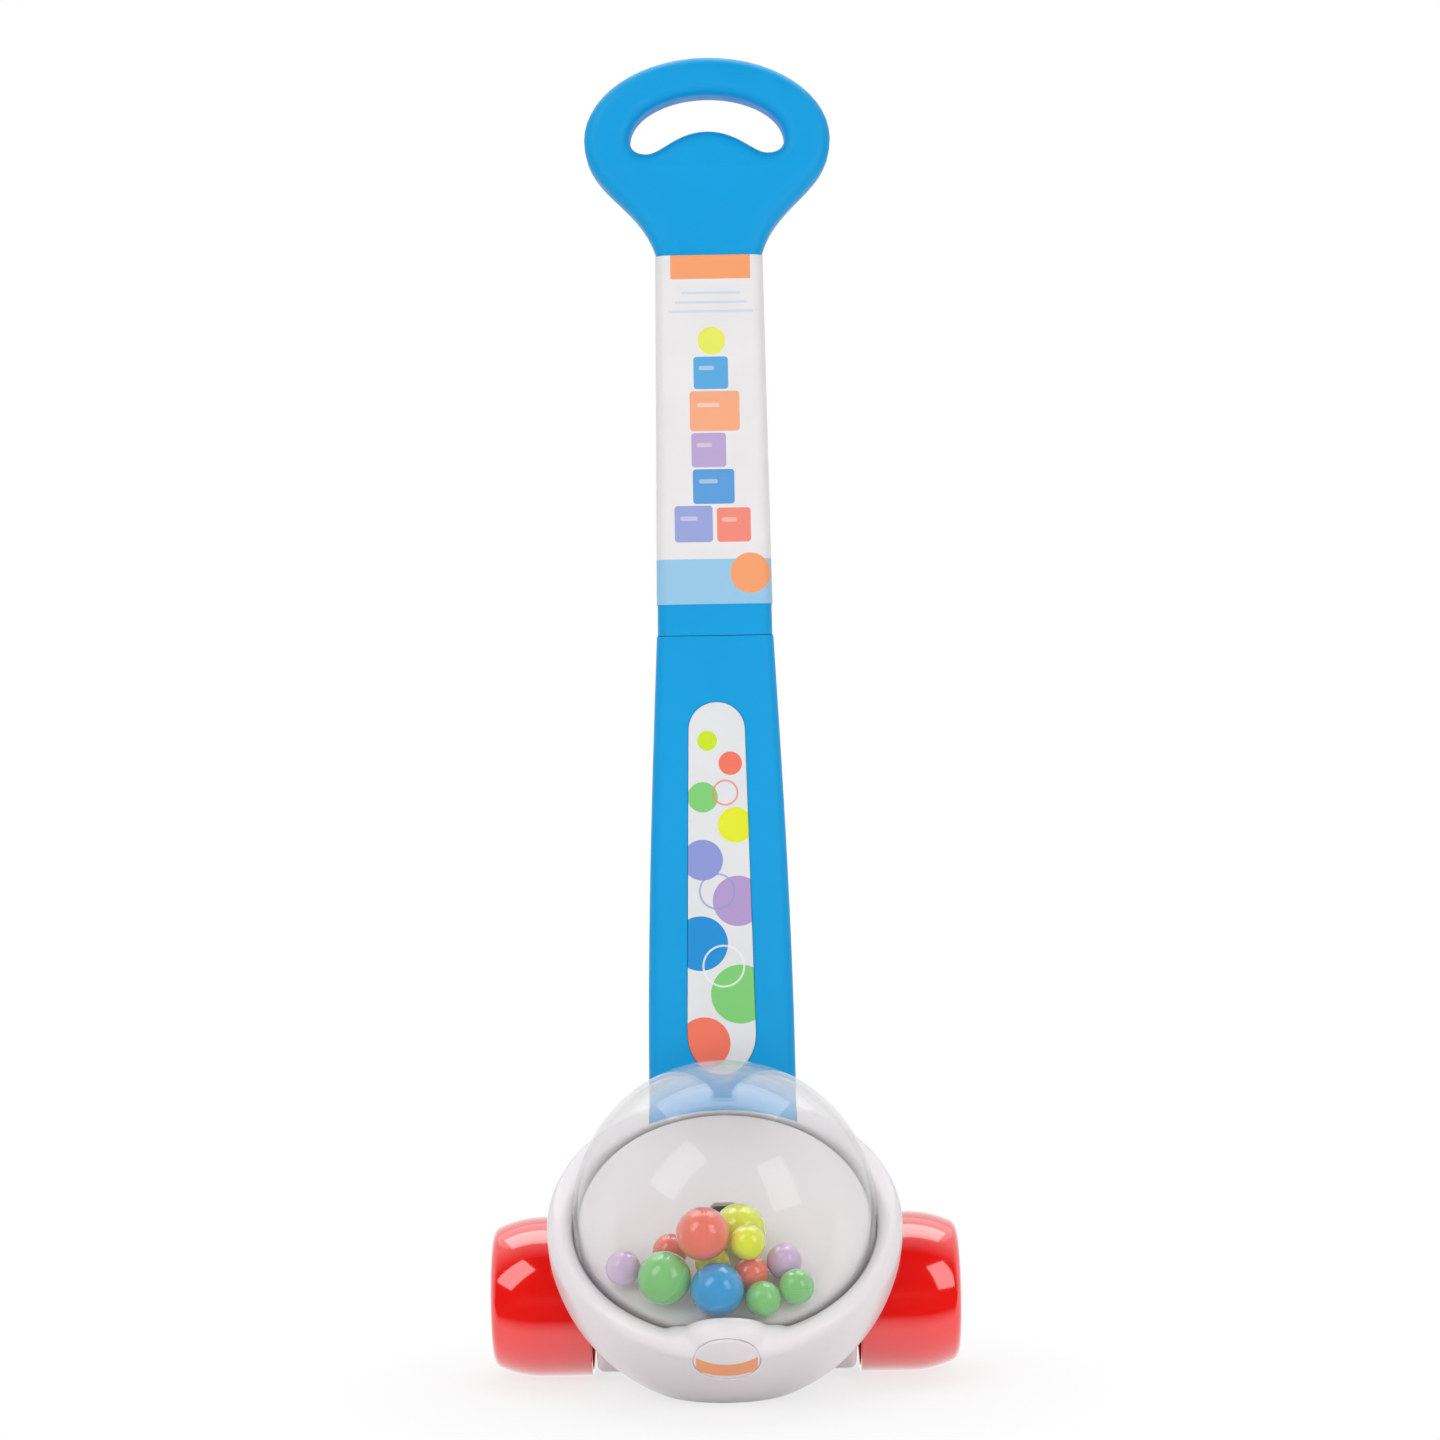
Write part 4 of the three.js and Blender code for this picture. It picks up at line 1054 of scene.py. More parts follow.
@dataclass(frozen=True)
class Base(SubAssembly):
    """The white bowl with its rim, tab and axle housing, its bottom cover and its front plate."""

    wall: float = 2.4 * MM
    lip_rise: float = 1 * MM
    ledge: float = 2.6 * MM
    ledge_width: float = 9 * MM
    bottom: float = -70 * MM
    cover_top: float = -67.3 * MM
    cover_drill: float = 20 * MM
    housing_front: float = 26 * MM
    housing_back: float = 48 * MM
    housing_shoulder: float = 40 * MM
    housing_top: float = -22 * MM
    housing_round: float = 6 * MM
    housing_edge: float = 3 * MM
    arch_gap: float = 2 * MM
    socket_edge: float = 7 * MM
    passage_top: float = 0.16
    buttress_foot: float = 52 * MM
    buttress_round: float = 1.5 * MM
    plate_half: Pair = (14.5 * MM, 12 * MM)
    plate_middle: float = -0.7 * MM
    plate_seat: float = 75.6 * MM
    plate_thickness: float = 1.5 * MM
    plate_edge: float = 0.35 * MM
    boss: float = 5 * MM
    boss_height: float = 16 * MM
    bush_room: float = 5.8 * MM
    tabs: tuple[Triple, ...] = ((21 * MM, 10.5 * MM, 14 * MM), (33 * MM, 10.5 * MM, 8.5 * MM))
    crest: float = 6.5 * MM
    crest_fall: float = 3.4
    voxel: float = 0.95 * MM
    rounds: int = 5
    triangles: int = 150000

    def build(self) -> None:
        """Builds every piece of the base."""
        form = self.outer_form()
        self.cover(form.copy())
        self.shell(form)
        self.front_plate()

    def outer_form(self) -> Solid:
        """The base's outer form as one solid in the bowl's own frame, its corners softened.

        Returns:
            The solid.
        """
        lay = self.layout
        profile = Profile(0, -lay.bowl_radius).arc(0, 0, 90, 36).line((lay.bowl_radius, self.lip_rise))
        profile.arc(lay.bowl_radius - lay.rim, self.lip_rise, 180, 16)
        form = Solid(profile.line((lay.mouth, lay.ledge_top), (0, lay.ledge_top)).spun(160))
        for across, deep, high in self.tabs:
            bump = bmesh.new()
            bmesh.ops.create_uvsphere(bump, u_segments=64, v_segments=40, radius=1.0)
            placed(bump, Matrix.Diagonal((across, deep, high, 1)), shift(0, deep - lay.bowl_radius, self.lip_rise))
            form.change(Cut.JOIN, Solid(bump))
        form.change(Cut.JOIN, self.housing(0), self.buttress(0))
        form.change(Cut.REMOVE, self.arch(-1, 0), self.arch(1, 0), self.ground(0))
        low, high = (-lay.far, 0, 0), (lay.far, lay.far, lay.far)
        above = Solid.block(low, high, turn(-self.crest_fall, "X"), shift(0, 0, self.crest))
        return form.change(Cut.REMOVE, above).softened(self.voxel, self.rounds, self.triangles)

    def housing(self, inset: float) -> Solid:
        """The block between the wheels, drawn in by inset.

        Args:
            inset: how far it is drawn in on every side.

        Returns:
            The solid in the bowl's own frame.
        """
        low = self.bottom - (OVERRUN if inset else 0)
        outline = Outline().rounded([
            (-self.housing_back, low), (self.housing_front, low),
            (self.housing_shoulder, self.housing_top), (-self.housing_back, self.housing_top),
        ], self.housing_round)
        return outline.plate(2 * self.layout.housing_half, self.housing_edge, inset, 3).moved(turn(-90, "Z"))

    def buttress(self, inset: float) -> Solid:
        """The buttress behind the bowl that is to hold the handle.

        The boolean solver refuses this mesh as non-manifold, though no edge of it is open. So neither of
        its joins takes effect, and the bowl stands without its socket until this form is mended.

        Args:
            inset: how far it is drawn in on every side.

        Returns:
            The solid in the bowl's own frame.
        """
        lay, wall = self.layout, self.layout.socket_reach
        front, back = lay.handle_front - wall, lay.handle_back + wall
        outline = Outline().rounded([
            (-back, lay.socket_top), (-back, lay.foot_height), (self.wall - lay.bowl_radius, self.buttress_foot),
            (-front, lay.foot_height - GAP - lay.socket_wall), (-front, lay.socket_top),
        ], self.buttress_round)
        return outline.plate(2 * (lay.foot_half + wall), self.socket_edge, inset).moved(turn(-90, "Z"), lay.untip)

    def upright_block(self, grow: float, low: float, high: float, corner: float) -> Solid:
        """A block round the handle's foot.

        Args:
            grow: how far it stands off the handle.
            low: its lower end above the floor.
            high: its upper end.
            corner: its corners' radius.

        Returns:
            The solid in the bowl's own frame.
        """
        lay = self.layout
        back, front = lay.handle_back + grow, lay.handle_front - grow
        return slab(lay.foot_half + grow, (-back, low), (-front, high), corner).moved(lay.untip)

    def arch(self, sign: int, grow: float) -> Solid:
        """The room for one wheel at the side of the housing.

        Args:
            sign: minus one on the left, one on the right.
            grow: how much larger it is on every side.

        Returns:
            The solid in the bowl's own frame.
        """
        lay = self.layout
        inside = lay.housing_half - grow
        length = lay.bowl_radius + OVERRUN - inside
        place = shift(sign * (inside + length / 2), *lay.axle_in_bowl)
        return Solid.cylinder(lay.wheel_radius + self.arch_gap + grow, length, 96, turn(90, "Y"), place)

    def ground(self, rise: float) -> Solid:
        """Everything below the floor on which the toy stands, raised by rise."""
        far = self.layout.far
        return Solid.block((-far, -far, -far), (far, far, rise), self.layout.untip)

    def hollow(self) -> Solid:
        """The inside of the base, where its mechanism is.

        Returns:
            The solid in the bowl's own frame.
        """
        lay = self.layout
        radius, inner = lay.bowl_radius - self.wall, lay.mouth - self.ledge_width
        ledge_bottom, top = lay.ledge_top - self.ledge, lay.ledge_top + OVERRUN
        edge = math.degrees(math.asin(ledge_bottom / radius))
        profile = Profile(0, -radius).arc(0, 0, 90 + edge, 20)
        room = Solid(profile.line((inner, ledge_bottom), (inner, top), (0, top)).spun(80))
        room.change(Cut.JOIN, self.housing(self.wall), self.buttress(self.wall))
        room.change(Cut.REMOVE, self.arch(-1, self.wall), self.arch(1, self.wall), self.ground(self.wall))
        low = lay.foot_height - GAP - lay.socket_wall
        return room.change(Cut.REMOVE, self.upright_block(lay.socket_reach, low, lay.socket_top, self.socket_edge))

    def shell(self, form: Solid) -> None:
        """Hollows the outer form into the bowl's shell and cuts its openings.

        Args:
            form: the outer form, which is used up.
        """
        lay = self.layout
        bottom = self.cover_top + GAP
        form.change(Cut.REMOVE, self.hollow())
        for x, y in lay.cover_screws:
            place = shift(x, y, bottom + self.boss_height / 2)
            form.change(Cut.JOIN, Solid.cylinder(self.boss, self.boss_height, 32, place))
            depth = 2 * (self.boss_height - self.wall)
            form.change(Cut.REMOVE, Solid.cylinder(lay.screw_hole, depth, 24, shift(x, y, bottom)))
        for x, y in lay.floor_screws:
            place = shift(x, y, lay.ledge_top)
            form.change(Cut.REMOVE, Solid.cylinder(lay.screw_hole, 4 * self.ledge, 24, place))
        form.change(Cut.REMOVE, self.dome_room(), self.plate_pocket())
        form.change(Cut.REMOVE, Solid.block((-lay.far, -lay.far, -lay.far), (lay.far, lay.far, bottom)))
        bore, place = 2 * (lay.housing_half + OVERRUN), shift(0, *lay.axle_in_bowl)
        form.change(Cut.REMOVE, Solid.cylinder(self.bush_room, bore, 48, turn(90, "Y"), place))
        passage = self.upright_block(SLIP, lay.foot_height - GAP, self.passage_top, lay.handle_edge)
        form.change(Cut.REMOVE, passage, lay.toe(SLIP))
        outside = lay.handle_back + lay.socket_reach
        for radius, start in (
            (lay.screw_hole, lay.handle_back), (lay.screw_head + GAP, outside - lay.head_height),
        ):
            length = outside + OVERRUN - start
            place = shift(0, start + length / 2, lay.handle_screw_height)
            form.change(Cut.REMOVE, Solid.cylinder(radius, length, 32, turn(90, "X"), place, lay.untip))
        self.mount(form.bm(lay.tip), "bowl_shell", self.finishes.white, "white_plastic", "base_shell")

    def dome_room(self) -> Solid:
        """The room for the dome in the mouth, in the bowl's own frame."""
        lay, wide = self.layout, self.layout.mouth
        profile = Profile(0, lay.ledge_top).line((wide, lay.ledge_top), (wide, lay.dome_rise))
        return Solid(profile.arc(0, lay.dome_rise, 90, 24).spun(160))

    def plate_pocket(self) -> Solid:
        """The recess for the front plate.

        Returns:
            The solid in the bowl's own frame.
        """
        depth = self.layout.bowl_radius + OVERRUN - self.plate_seat
        outline = Outline().ellipse(*(size + GAP / 2 for size in self.plate_half))
        return outline.plate(depth).moved(shift(0, -self.plate_seat - depth / 2, self.plate_middle))

    def front_plate(self) -> None:
        """Builds the bare oval plate on the tab."""
        place = shift(0, -self.plate_seat - GAP - self.plate_thickness / 2, self.plate_middle)
        solid = Outline().ellipse(*self.plate_half).plate(self.plate_thickness, self.plate_edge, 0, 3)
        bm = solid.bm(place, self.layout.tip)
        self.mount(bm, "front_plate", self.finishes.badge, "white_plastic", "badge_plate")

    def cover(self, form: Solid) -> None:
        """Cuts the bottom cover out of the outer form, with its screw holes.

        Args:
            form: the outer form, which is used up.
        """
        lay = self.layout
        low, high = (-lay.far, -lay.far, self.bottom), (lay.far, lay.far, self.cover_top)
        form.change(Cut.KEEP_COMMON, Solid.block(low, high))
        for x, y in lay.cover_screws + lay.gearbox_screws:
            place = shift(x, y, self.bottom)
            form.change(Cut.REMOVE, Solid.cylinder(lay.screw_hole, self.cover_drill, 32, place))
            form.change(Cut.REMOVE, Solid.cylinder(lay.screw_head + GAP, 2 * lay.head_height, 40, place))
        self.mount(form.bm(lay.tip), "underside_cover", self.finishes.white, "white_plastic", "bottom_cover")


@dataclass(frozen=True)
class Screws(SubAssembly):
    """The pan-head screws with a cross recess."""

    shank: float = 1.5 * MM
    cross: Triple = (1.7 * MM, 0.35 * MM, 0.8 * MM)
    cover_seat: float = -68.5 * MM
    floor_seat: float = -9.2 * MM
    handle_seat: float = 1.5 * MM
    cover_length: float = 8 * MM
    gearbox_length: float = 5.4 * MM
    floor_length: float = 4.4 * MM
    handle_length: float = 7 * MM

    def build(self) -> None:
        """Builds every screw."""
        lay = self.layout
        for names, places, length, height in (
            ("cover_screw", lay.cover_screws, self.cover_length, self.cover_seat),
            ("gearbox_screw", lay.gearbox_screws, self.gearbox_length, self.cover_seat),
            ("floor_screw", lay.floor_screws, self.floor_length, self.floor_seat),
        ):
            for i, (x, y) in enumerate(places, 1):
                bm = self.screw(length).bm(shift(x, y, height), lay.tip)
                self.mount(bm, f"{names}_{i}_head", self.finishes.steel, "steel", f"{names}_{i}")
        place = shift(0, lay.handle_back + lay.socket_reach - self.handle_seat, lay.handle_screw_height)
        bm = self.screw(self.handle_length).bm(turn(90, "X"), place, lay.upright)
        self.mount(bm, "handle_screw_head", self.finishes.steel, "steel", "handle_screw")

    def screw(self, length: float) -> Solid:
        """A screw that points up, its head under the plane at zero.

        Args:
            length: of its shank.

        Returns:
            The screw.
        """
        head, high, shank = self.layout.screw_head, self.layout.head_height, self.shank
        profile = Profile(0, -high).line((head * 0.6, -high))
        profile.sweep((head * 0.9, -high), (head, -high * 0.75), (head, -high * 0.4), 6)
        screw = Solid(profile.line((head, 0), (shank, 0), (shank, length), (0, length)).spun(28))
        long, thick, deep = self.cross
        for angle in (0, 90):
            block = Solid.block((-long, -thick, -2 * high), (long, thick, deep - high), turn(angle, "Z"))
            screw.change(Cut.REMOVE, block)
        return screw


# The dome, its floor and the balls


@dataclass(frozen=True)
class DomeSet(SubAssembly):
    """The clear dome, the floor under the balls and the striker's head."""

    wall: float = 2 * MM
    floor_top: float = 4.5 * MM
    floor_dish: float = 1.5 * MM
    floor_thickness: float = 2.4 * MM
    floor_round: float = 2.6 * MM
    rim_width: float = 3 * MM
    slot_half: float = 6.4 * MM
    slot_front: float = -10.4 * MM
    slot_back: float = 6.2 * MM
    slot_corner: float = 3.2 * MM
    slot_depth: float = 24 * MM
    head_rise: float = 0.3 * MM
    head_radius: float = 5.7 * MM
    head_height: float = 7.4 * MM
    head_shoulder: float = 1 * MM
    head_pull: float = 0.2 * MM

    def build(self) -> None:
        """Builds the dome, the floor and the striker's head."""
        self.dome()
        self.floor()
        self.striker_head()

    def dome(self) -> None:
        """Builds the clear dome with its short skirt."""
        lay = self.layout
        outer = lay.mouth - SLIP
        inner = outer - self.wall
        profile = Profile(0, lay.dome_rise + inner).arc(0, lay.dome_rise, -90, 48)
        profile.line((inner, -lay.skirt), (outer, -lay.skirt), (outer, lay.dome_rise))
        bm = placed(profile.arc(0, lay.dome_rise, 90, 48).spun(160), lay.tip)
        self.mount(bm, "clear_dome", self.finishes.clear, "clear_plastic", "dome")

    def floor(self) -> None:
        """Builds the dished floor with its slot for the striker and its screw posts."""
        lay, under = self.layout, self.floor_top - self.floor_thickness
        radius = lay.mouth - 2 * SLIP - self.wall
        inner, bend = radius - self.rim_width, self.floor_top - self.floor_round
        middle = self.floor_top - self.floor_dish
        profile = Profile(0, middle - self.floor_thickness)
        profile.line((inner, under), (inner, -lay.skirt), (radius, -lay.skirt), (radius, bend))
        floor = Solid(profile.arc(radius - self.floor_round, bend, 90, 10).line((0, middle)).spun(128))
        front, back = (-self.slot_half, self.slot_front), (self.slot_half, self.slot_back)
        slot = Outline().rounded([front, (back[0], front[1]), back, (front[0], back[1])], self.slot_corner)
        floor.change(Cut.REMOVE, slot.plate(self.slot_depth).moved(turn(90, "X")))
        height = self.floor_top - self.floor_thickness / 2 + lay.skirt
        for x, y in lay.floor_screws:
            place = shift(x, y, height / 2 - lay.skirt)
            floor.change(Cut.JOIN, Solid.cylinder(lay.screw_head, height, 32, place))
            floor.change(Cut.REMOVE, Solid.cylinder(lay.screw_hole, 2 * lay.skirt, 24, shift(x, y, -lay.skirt)))
        self.mount(floor.bm(lay.tip), "ball_floor", self.finishes.under_balls, "white_plastic", "dome_floor")

    def striker_head(self) -> None:
        """Builds the rounded head that knocks the balls up through the slot."""
        high, radius = self.floor_top - self.floor_dish + self.head_rise, self.head_radius
        low = high - self.head_height
        profile = Profile(0, low).line((radius, low), (radius, high - self.head_shoulder))
        profile.sweep((radius, high - self.head_pull), (radius * 0.7, high), (0, high), 12)
        bm = placed(profile.spun(48), self.layout.tip)
        self.mount(bm, "knocker", self.finishes.balls["yellow"], "yellow_ball", "striker_head", "striker")


@dataclass(frozen=True)
class Balls(SubAssembly):
    """The loose balls, each with the fine line along which its halves are joined."""

    large: float = 11.606 * MM
    small: float = 7.694 * MM
    large_from: float = 18 * MM
    groove: float = 0.12 * MM
    groove_half: float = 1.5
    tip_start: int = 40
    tip_step: int = 53
    roll_step: int = 97
    crease: float = 60.0

    def build(self) -> None:
        """Builds a ball for each of the frame's."""
        names = sorted(name for name in self.nodes if name.startswith("ball_"))
        side, slope = 90 - self.groove_half, math.radians(self.groove_half)
        for i, name in enumerate(names):
            low, high = (Vector(corner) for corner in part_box(name))
            radius = self.large if (high - low).x > self.large_from else self.small
            colour = name.split("_")[1]
            profile = Profile(0, -radius).arc(0, 0, side, 24)
            profile.line((radius - self.groove, 0), (radius * math.cos(slope), radius * math.sin(slope)))
            bm = profile.arc(0, 0, side, 24).spun(64)
            tip, roll = turn(self.tip_start + self.tip_step * i, "X"), turn(self.roll_step * i, "Z")
            placed(bm, tip, roll, Matrix.Translation((low + high) / 2))
            finish = self.finishes.balls[colour]
            self.mount(bm, f"{name}_form", finish, f"{colour}_ball", name, name, self.crease)


# The wheels


@dataclass(frozen=True)
class Wheels(SubAssembly):
    """The two wide wheels with their crowned treads, the axle and the low caps on its ends."""

    width: float = 46.6 * MM
    gap: float = 2.3 * MM
    wall: float = 2.6 * MM
    bore: float = 3.3 * MM
    hub: float = 7.5 * MM
    hub_foot: float = 3 * MM
    straight: float = 22.2 * MM
    crown: float = 48 * MM
    crown_turn: float = 24.0
    fillet: float = 5.6 * MM
    fillet_turn: float = 56.0
    recess: float = 1 * MM
    face_fall: float = 0.8 * MM
    lip: float = 0.8 * MM
    bevel: float = 0.3 * MM
    ceiling: float = 40.6 * MM
    rib_count: int = 6
    rib_half: float = 1 * MM
    rib_reach: float = 23.5 * MM
    axle_radius: float = 3 * MM
    axle_chamfer: float = 0.5 * MM
    cap_radius: float = 5.6 * MM
    cap_height: float = 1.6 * MM
    cap_wall: float = 0.9 * MM
    cap_bevel: float = 0.2 * MM

    def build(self) -> None:
        """Builds both wheels, the axle and both caps."""
        lay, look = self.layout, self.finishes
        inside = lay.housing_half + self.gap
        outside = inside + self.width - self.recess
        for side, sign in (("left", -1), ("right", 1)):
            bm = self.wheel().bm(turn(sign * 90, "Y"), shift(sign * inside, lay.axle_y, lay.axle_z))
            self.mount(bm, f"{side}_wheel_form", look.red, "red_plastic", f"wheel_{side}", "wheels")
            place = shift(sign * (outside + GAP / 2), lay.axle_y, lay.axle_z)
            bm = placed(self.cap(), turn(sign * 90, "Y"), place)
            self.mount(bm, f"{side}_cap_form", look.white, "white_plastic", f"axle_cap_{side}", "wheels")
        bm = placed(self.axle(outside), turn(90, "Y"), shift(0, lay.axle_y, lay.axle_z))
        self.mount(bm, "axle_rod", look.steel, "steel", "axle", "wheels")

    def wheel(self) -> Solid:
        """A wheel along +Z, its open inner side at zero.

        Returns:
            The wheel.
        """
        radius, width, ceiling = self.layout.wheel_radius, self.width, self.ceiling
        inner, seat, face = radius - self.wall, self.cap_radius + GAP, width - self.recess
        profile = Profile(self.bore, self.hub_foot)
        profile.line((self.hub, self.hub_foot), (self.hub, ceiling), (self.rib_reach - self.wall, ceiling))
        profile.sweep((inner - self.wall, ceiling), (inner, ceiling * 0.75), (inner, self.straight), 12)
        profile.line((inner, self.bevel), (inner + self.bevel, 0), (radius - self.lip, 0))
        profile.arc(radius - self.lip, self.lip, 90, 6).line((radius, self.straight))
        profile.arc(radius - self.crown, self.straight, self.crown_turn, 20)
        slope, left = math.radians(self.crown_turn), self.crown - self.fillet
        middle = radius - self.crown + left * math.cos(slope), self.straight + left * math.sin(slope)
        profile.arc(*middle, self.fillet_turn, 14)
        profile.sweep((radius * 0.6, width - self.face_fall), (radius * 0.4, width), (seat, width), 12)
        wheel = Solid(profile.line((seat, face), (self.bore, face)).close().spun(144))
        for i in range(self.rib_count):
            low = (self.hub - self.rib_half, -self.rib_half, self.straight)
            high = (self.rib_reach, self.rib_half, ceiling + self.rib_half)
            wheel.change(Cut.JOIN, Solid.block(low, high, turn(360 * i / self.rib_count, "Z")))
        return wheel

    def axle(self, half: float) -> bmesh.types.BMesh:
        """The axle along Z, with chamfered ends.

        Args:
            half: half its length.

        Returns:
            The axle.
        """
        radius, chamfer = self.axle_radius, self.axle_chamfer
        side = [(radius - chamfer, -half), (radius, chamfer - half), (radius, half - chamfer)]
        return Profile(0, -half).line(*side, (radius - chamfer, half), (0, half)).spun(64)

    def cap(self) -> bmesh.types.BMesh:
        """A low push-on cap along +Z.

        Returns:
            The cap.
        """
        radius, high, inside = self.cap_radius, self.cap_height, self.cap_height - self.cap_wall
        profile = Profile(self.bore, 0).line((radius - self.cap_bevel, 0), (radius, self.cap_bevel))
        profile.sweep((radius, high * 0.7), (radius * 0.7, high), (0, high), 14)
        return profile.line((0, inside), (self.bore, inside)).close().spun(64)


# The handle and what is on it


def sharp(*places: Pair) -> list[Knot]:
    """Knots between straight sides."""
    return [(place, None, None) for place in places]


def level(height: float, pull: float) -> Knot:
    """A knot on the middle line, where a curve that comes from the side of pull is level."""
    return (0, height), (pull, height), (-pull, height)


def flip(place: Pair | None) -> Pair | None:
    """The same place on the other side of the middle line."""
    return (-place[0], place[1]) if place else None


def mirrored(side: Sequence[Knot]) -> list[Knot]:
    """The left half of an outline, drawn downwards, from its right half, drawn upwards."""
    return [(flip(place), flip(after), flip(before)) for place, before, after in reversed(side)]


@dataclass(frozen=True)
class Handle(SubAssembly):
    """The two-piece handle with its loop grip, the dotted strip and the card sleeve."""

    wall: float = 1.8 * MM
    neck_half: float = 24.4 * MM
    neck_height: float = 513 * MM
    neck_pull: Pair = (6.8 * MM, 28.2 * MM)
    grip_half: float = 56.9 * MM
    grip_middle: float = 566 * MM
    grip_rise: float = 38 * MM
    grip_pull: float = 24 * MM
    hole_half: float = 35.7 * MM
    hole_rise: float = 20.6 * MM
    hole_pull: float = 5.1 * MM
    hole_lobe: float = 6.2 * MM
    hole_web: float = 3.9 * MM
    lobe_shares: Triple = (0.6, 0.78, 0.88)
    web_share: float = 0.4
    seam_half: float = 26.9 * MM
    seam_sag: float = 1.4 * MM
    swell_pull: Pair = (0.5123, 0.326)
    swell_end: float = 0.362
    swell_slope: float = 0.0493
    upper_foot: float = 26.5 * MM
    tongue_foot: float = 300 * MM
    tongue_wall: float = 1.6 * MM
    tongue_spare: float = 14 * MM
    spare: float = 12 * MM
    reach: float = 70 * MM
    label_low: Pair = (15.8 * MM, 153 * MM)
    label_high: Pair = (13 * MM, 293 * MM)
    label_sag: float = 19 * MM
    label_bow: float = 12.8 * MM
    label_pocket: float = 1.6 * MM
    label_depth: float = 0.25 * MM
    label_thickness: float = 0.5 * MM
    label_edge: float = 0.12 * MM
    window: tuple[Pair, Pair] = ((-6.4 * MM, 307.6 * MM), (6.4 * MM, 316.4 * MM))
    lug: tuple[Triple, Triple] = ((-6 * MM, 8.7 * MM, 308 * MM), (6 * MM, 11.7 * MM, 316 * MM))
    card: float = 0.35 * MM
    card_low: float = 351 * MM
    card_high: float = 512 * MM
    card_spare: float = 13 * MM

    def build(self) -> None:
        """Builds every piece of the handle."""
        self.lower()
        self.upper()
        self.strip()
        self.sleeve()

    def fit(self, solid: Solid, name: str, look: bpy.types.Material, slot: str, node: str, y: float = 0.0) -> None:
        """Mounts a piece of the handle, drawn in the handle's own middle, moved back by y."""
        self.mount(solid.bm(shift(0, self.layout.handle_y + y, 0)), name, look, slot, node)

    def lower_outline(self, low: float, high: float, narrower: float = 0.0) -> Outline:
        """The lower handle's outline, which swells from the seam down to the socket.

        Args:
            low: its lower end.
            high: its upper end.
            narrower: how far its sides are moved in.

        Returns:
            The outline.
        """
        lay = self.layout
        wide, slim, seam = lay.foot_half - narrower, self.seam_half - narrower, lay.seam_height
        if low < lay.socket_top:
            drop = seam - lay.socket_top
            pull = slim + self.swell_pull[0] * (wide - slim), seam - self.swell_pull[1] * drop
            knee = ((wide, lay.socket_top), None, (wide, lay.socket_top + self.swell_end * drop))
            side = [*sharp((wide, low)), knee, ((slim, seam), pull, None), *sharp((slim, high))]
        else:
            side = sharp((slim + self.swell_slope * (seam - low), low), (slim, seam), (slim, high))
        return Outline().loop(side + mirrored(side))

    def upper_half(self, height: float) -> float:
        """Half the width at a height of the upper handle, which narrows evenly to its neck."""
        share = (height - self.layout.seam_height) / (self.neck_height - self.layout.seam_height)
        return self.upper_foot + (self.neck_half - self.upper_foot) * share

    def grip_outline(self, low: float) -> Outline:
        """The upper handle's outline with the finger hole in its grip.

        Args:
            low: its lower end.

        Returns:
            The outline.
        """
        half, middle, rise = self.grip_half, self.grip_middle, self.grip_rise
        neck = (self.neck_half + self.neck_pull[0], middle - self.neck_pull[1])
        side = [
            *sharp((self.upper_half(low), low)), ((self.neck_half, self.neck_height), None, neck),
            ((half, middle), (half, middle - self.grip_pull), (half, middle + ARC_SHARE * rise)),
        ]
        outline = Outline().loop([*side, level(middle + rise, ARC_SHARE * half), *mirrored(side)])
        hole, lobe, top = self.hole_half, middle - self.hole_lobe, middle + self.hole_rise
        before, at, after = (share * hole for share in self.lobe_shares)
        right = [
            ((at, lobe), (before, lobe), (after, lobe)),
            ((hole, middle), (hole, middle - self.hole_pull), (hole, middle + ARC_SHARE * self.hole_rise)),
        ]
        web = level(middle + self.hole_web, -self.web_share * hole)
        return outline.loop([web, *right, level(top, ARC_SHARE * hole), *mirrored(right)])

    def above(self, height: float, sag: float = 0.0) -> Solid:
        """Everything above a height, over a shallow arc where it sags.

        Args:
            height: above the floor.
            sag: how far the arc's middle lies lower.

        Returns:
            The solid.
        """
        reach, top, low = self.reach, self.grip_middle + 2 * self.grip_rise, height - sag * 4 / 3
        arc = [((-reach, height), None, (-reach / 3, low)), ((reach, height), (reach / 3, low), None)]
        return Outline().loop(arc + sharp((reach, top), (-reach, top))).plate(2 * self.layout.handle_thickness)

    def label_outline(self, grow: float) -> Outline:
        """The strip's outline, drawn larger for its recess.

        Args:
            grow: how much larger on every side.

        Returns:
            The outline.
        """
        (low, bottom), (high, top) = self.label_low, self.label_high
        low, high, sag, bow = low + grow, high + grow, self.label_sag + grow, self.label_bow + grow
        side = [
            ((low, bottom), (low, bottom - ARC_SHARE * sag), None), ((high, top), None, (high, top + ARC_SHARE * bow)),
        ]
        foot, crest = level(bottom - sag, -ARC_SHARE * low), level(top + bow, ARC_SHARE * high)
        return Outline().loop([foot, *side, crest, *mirrored(side)])

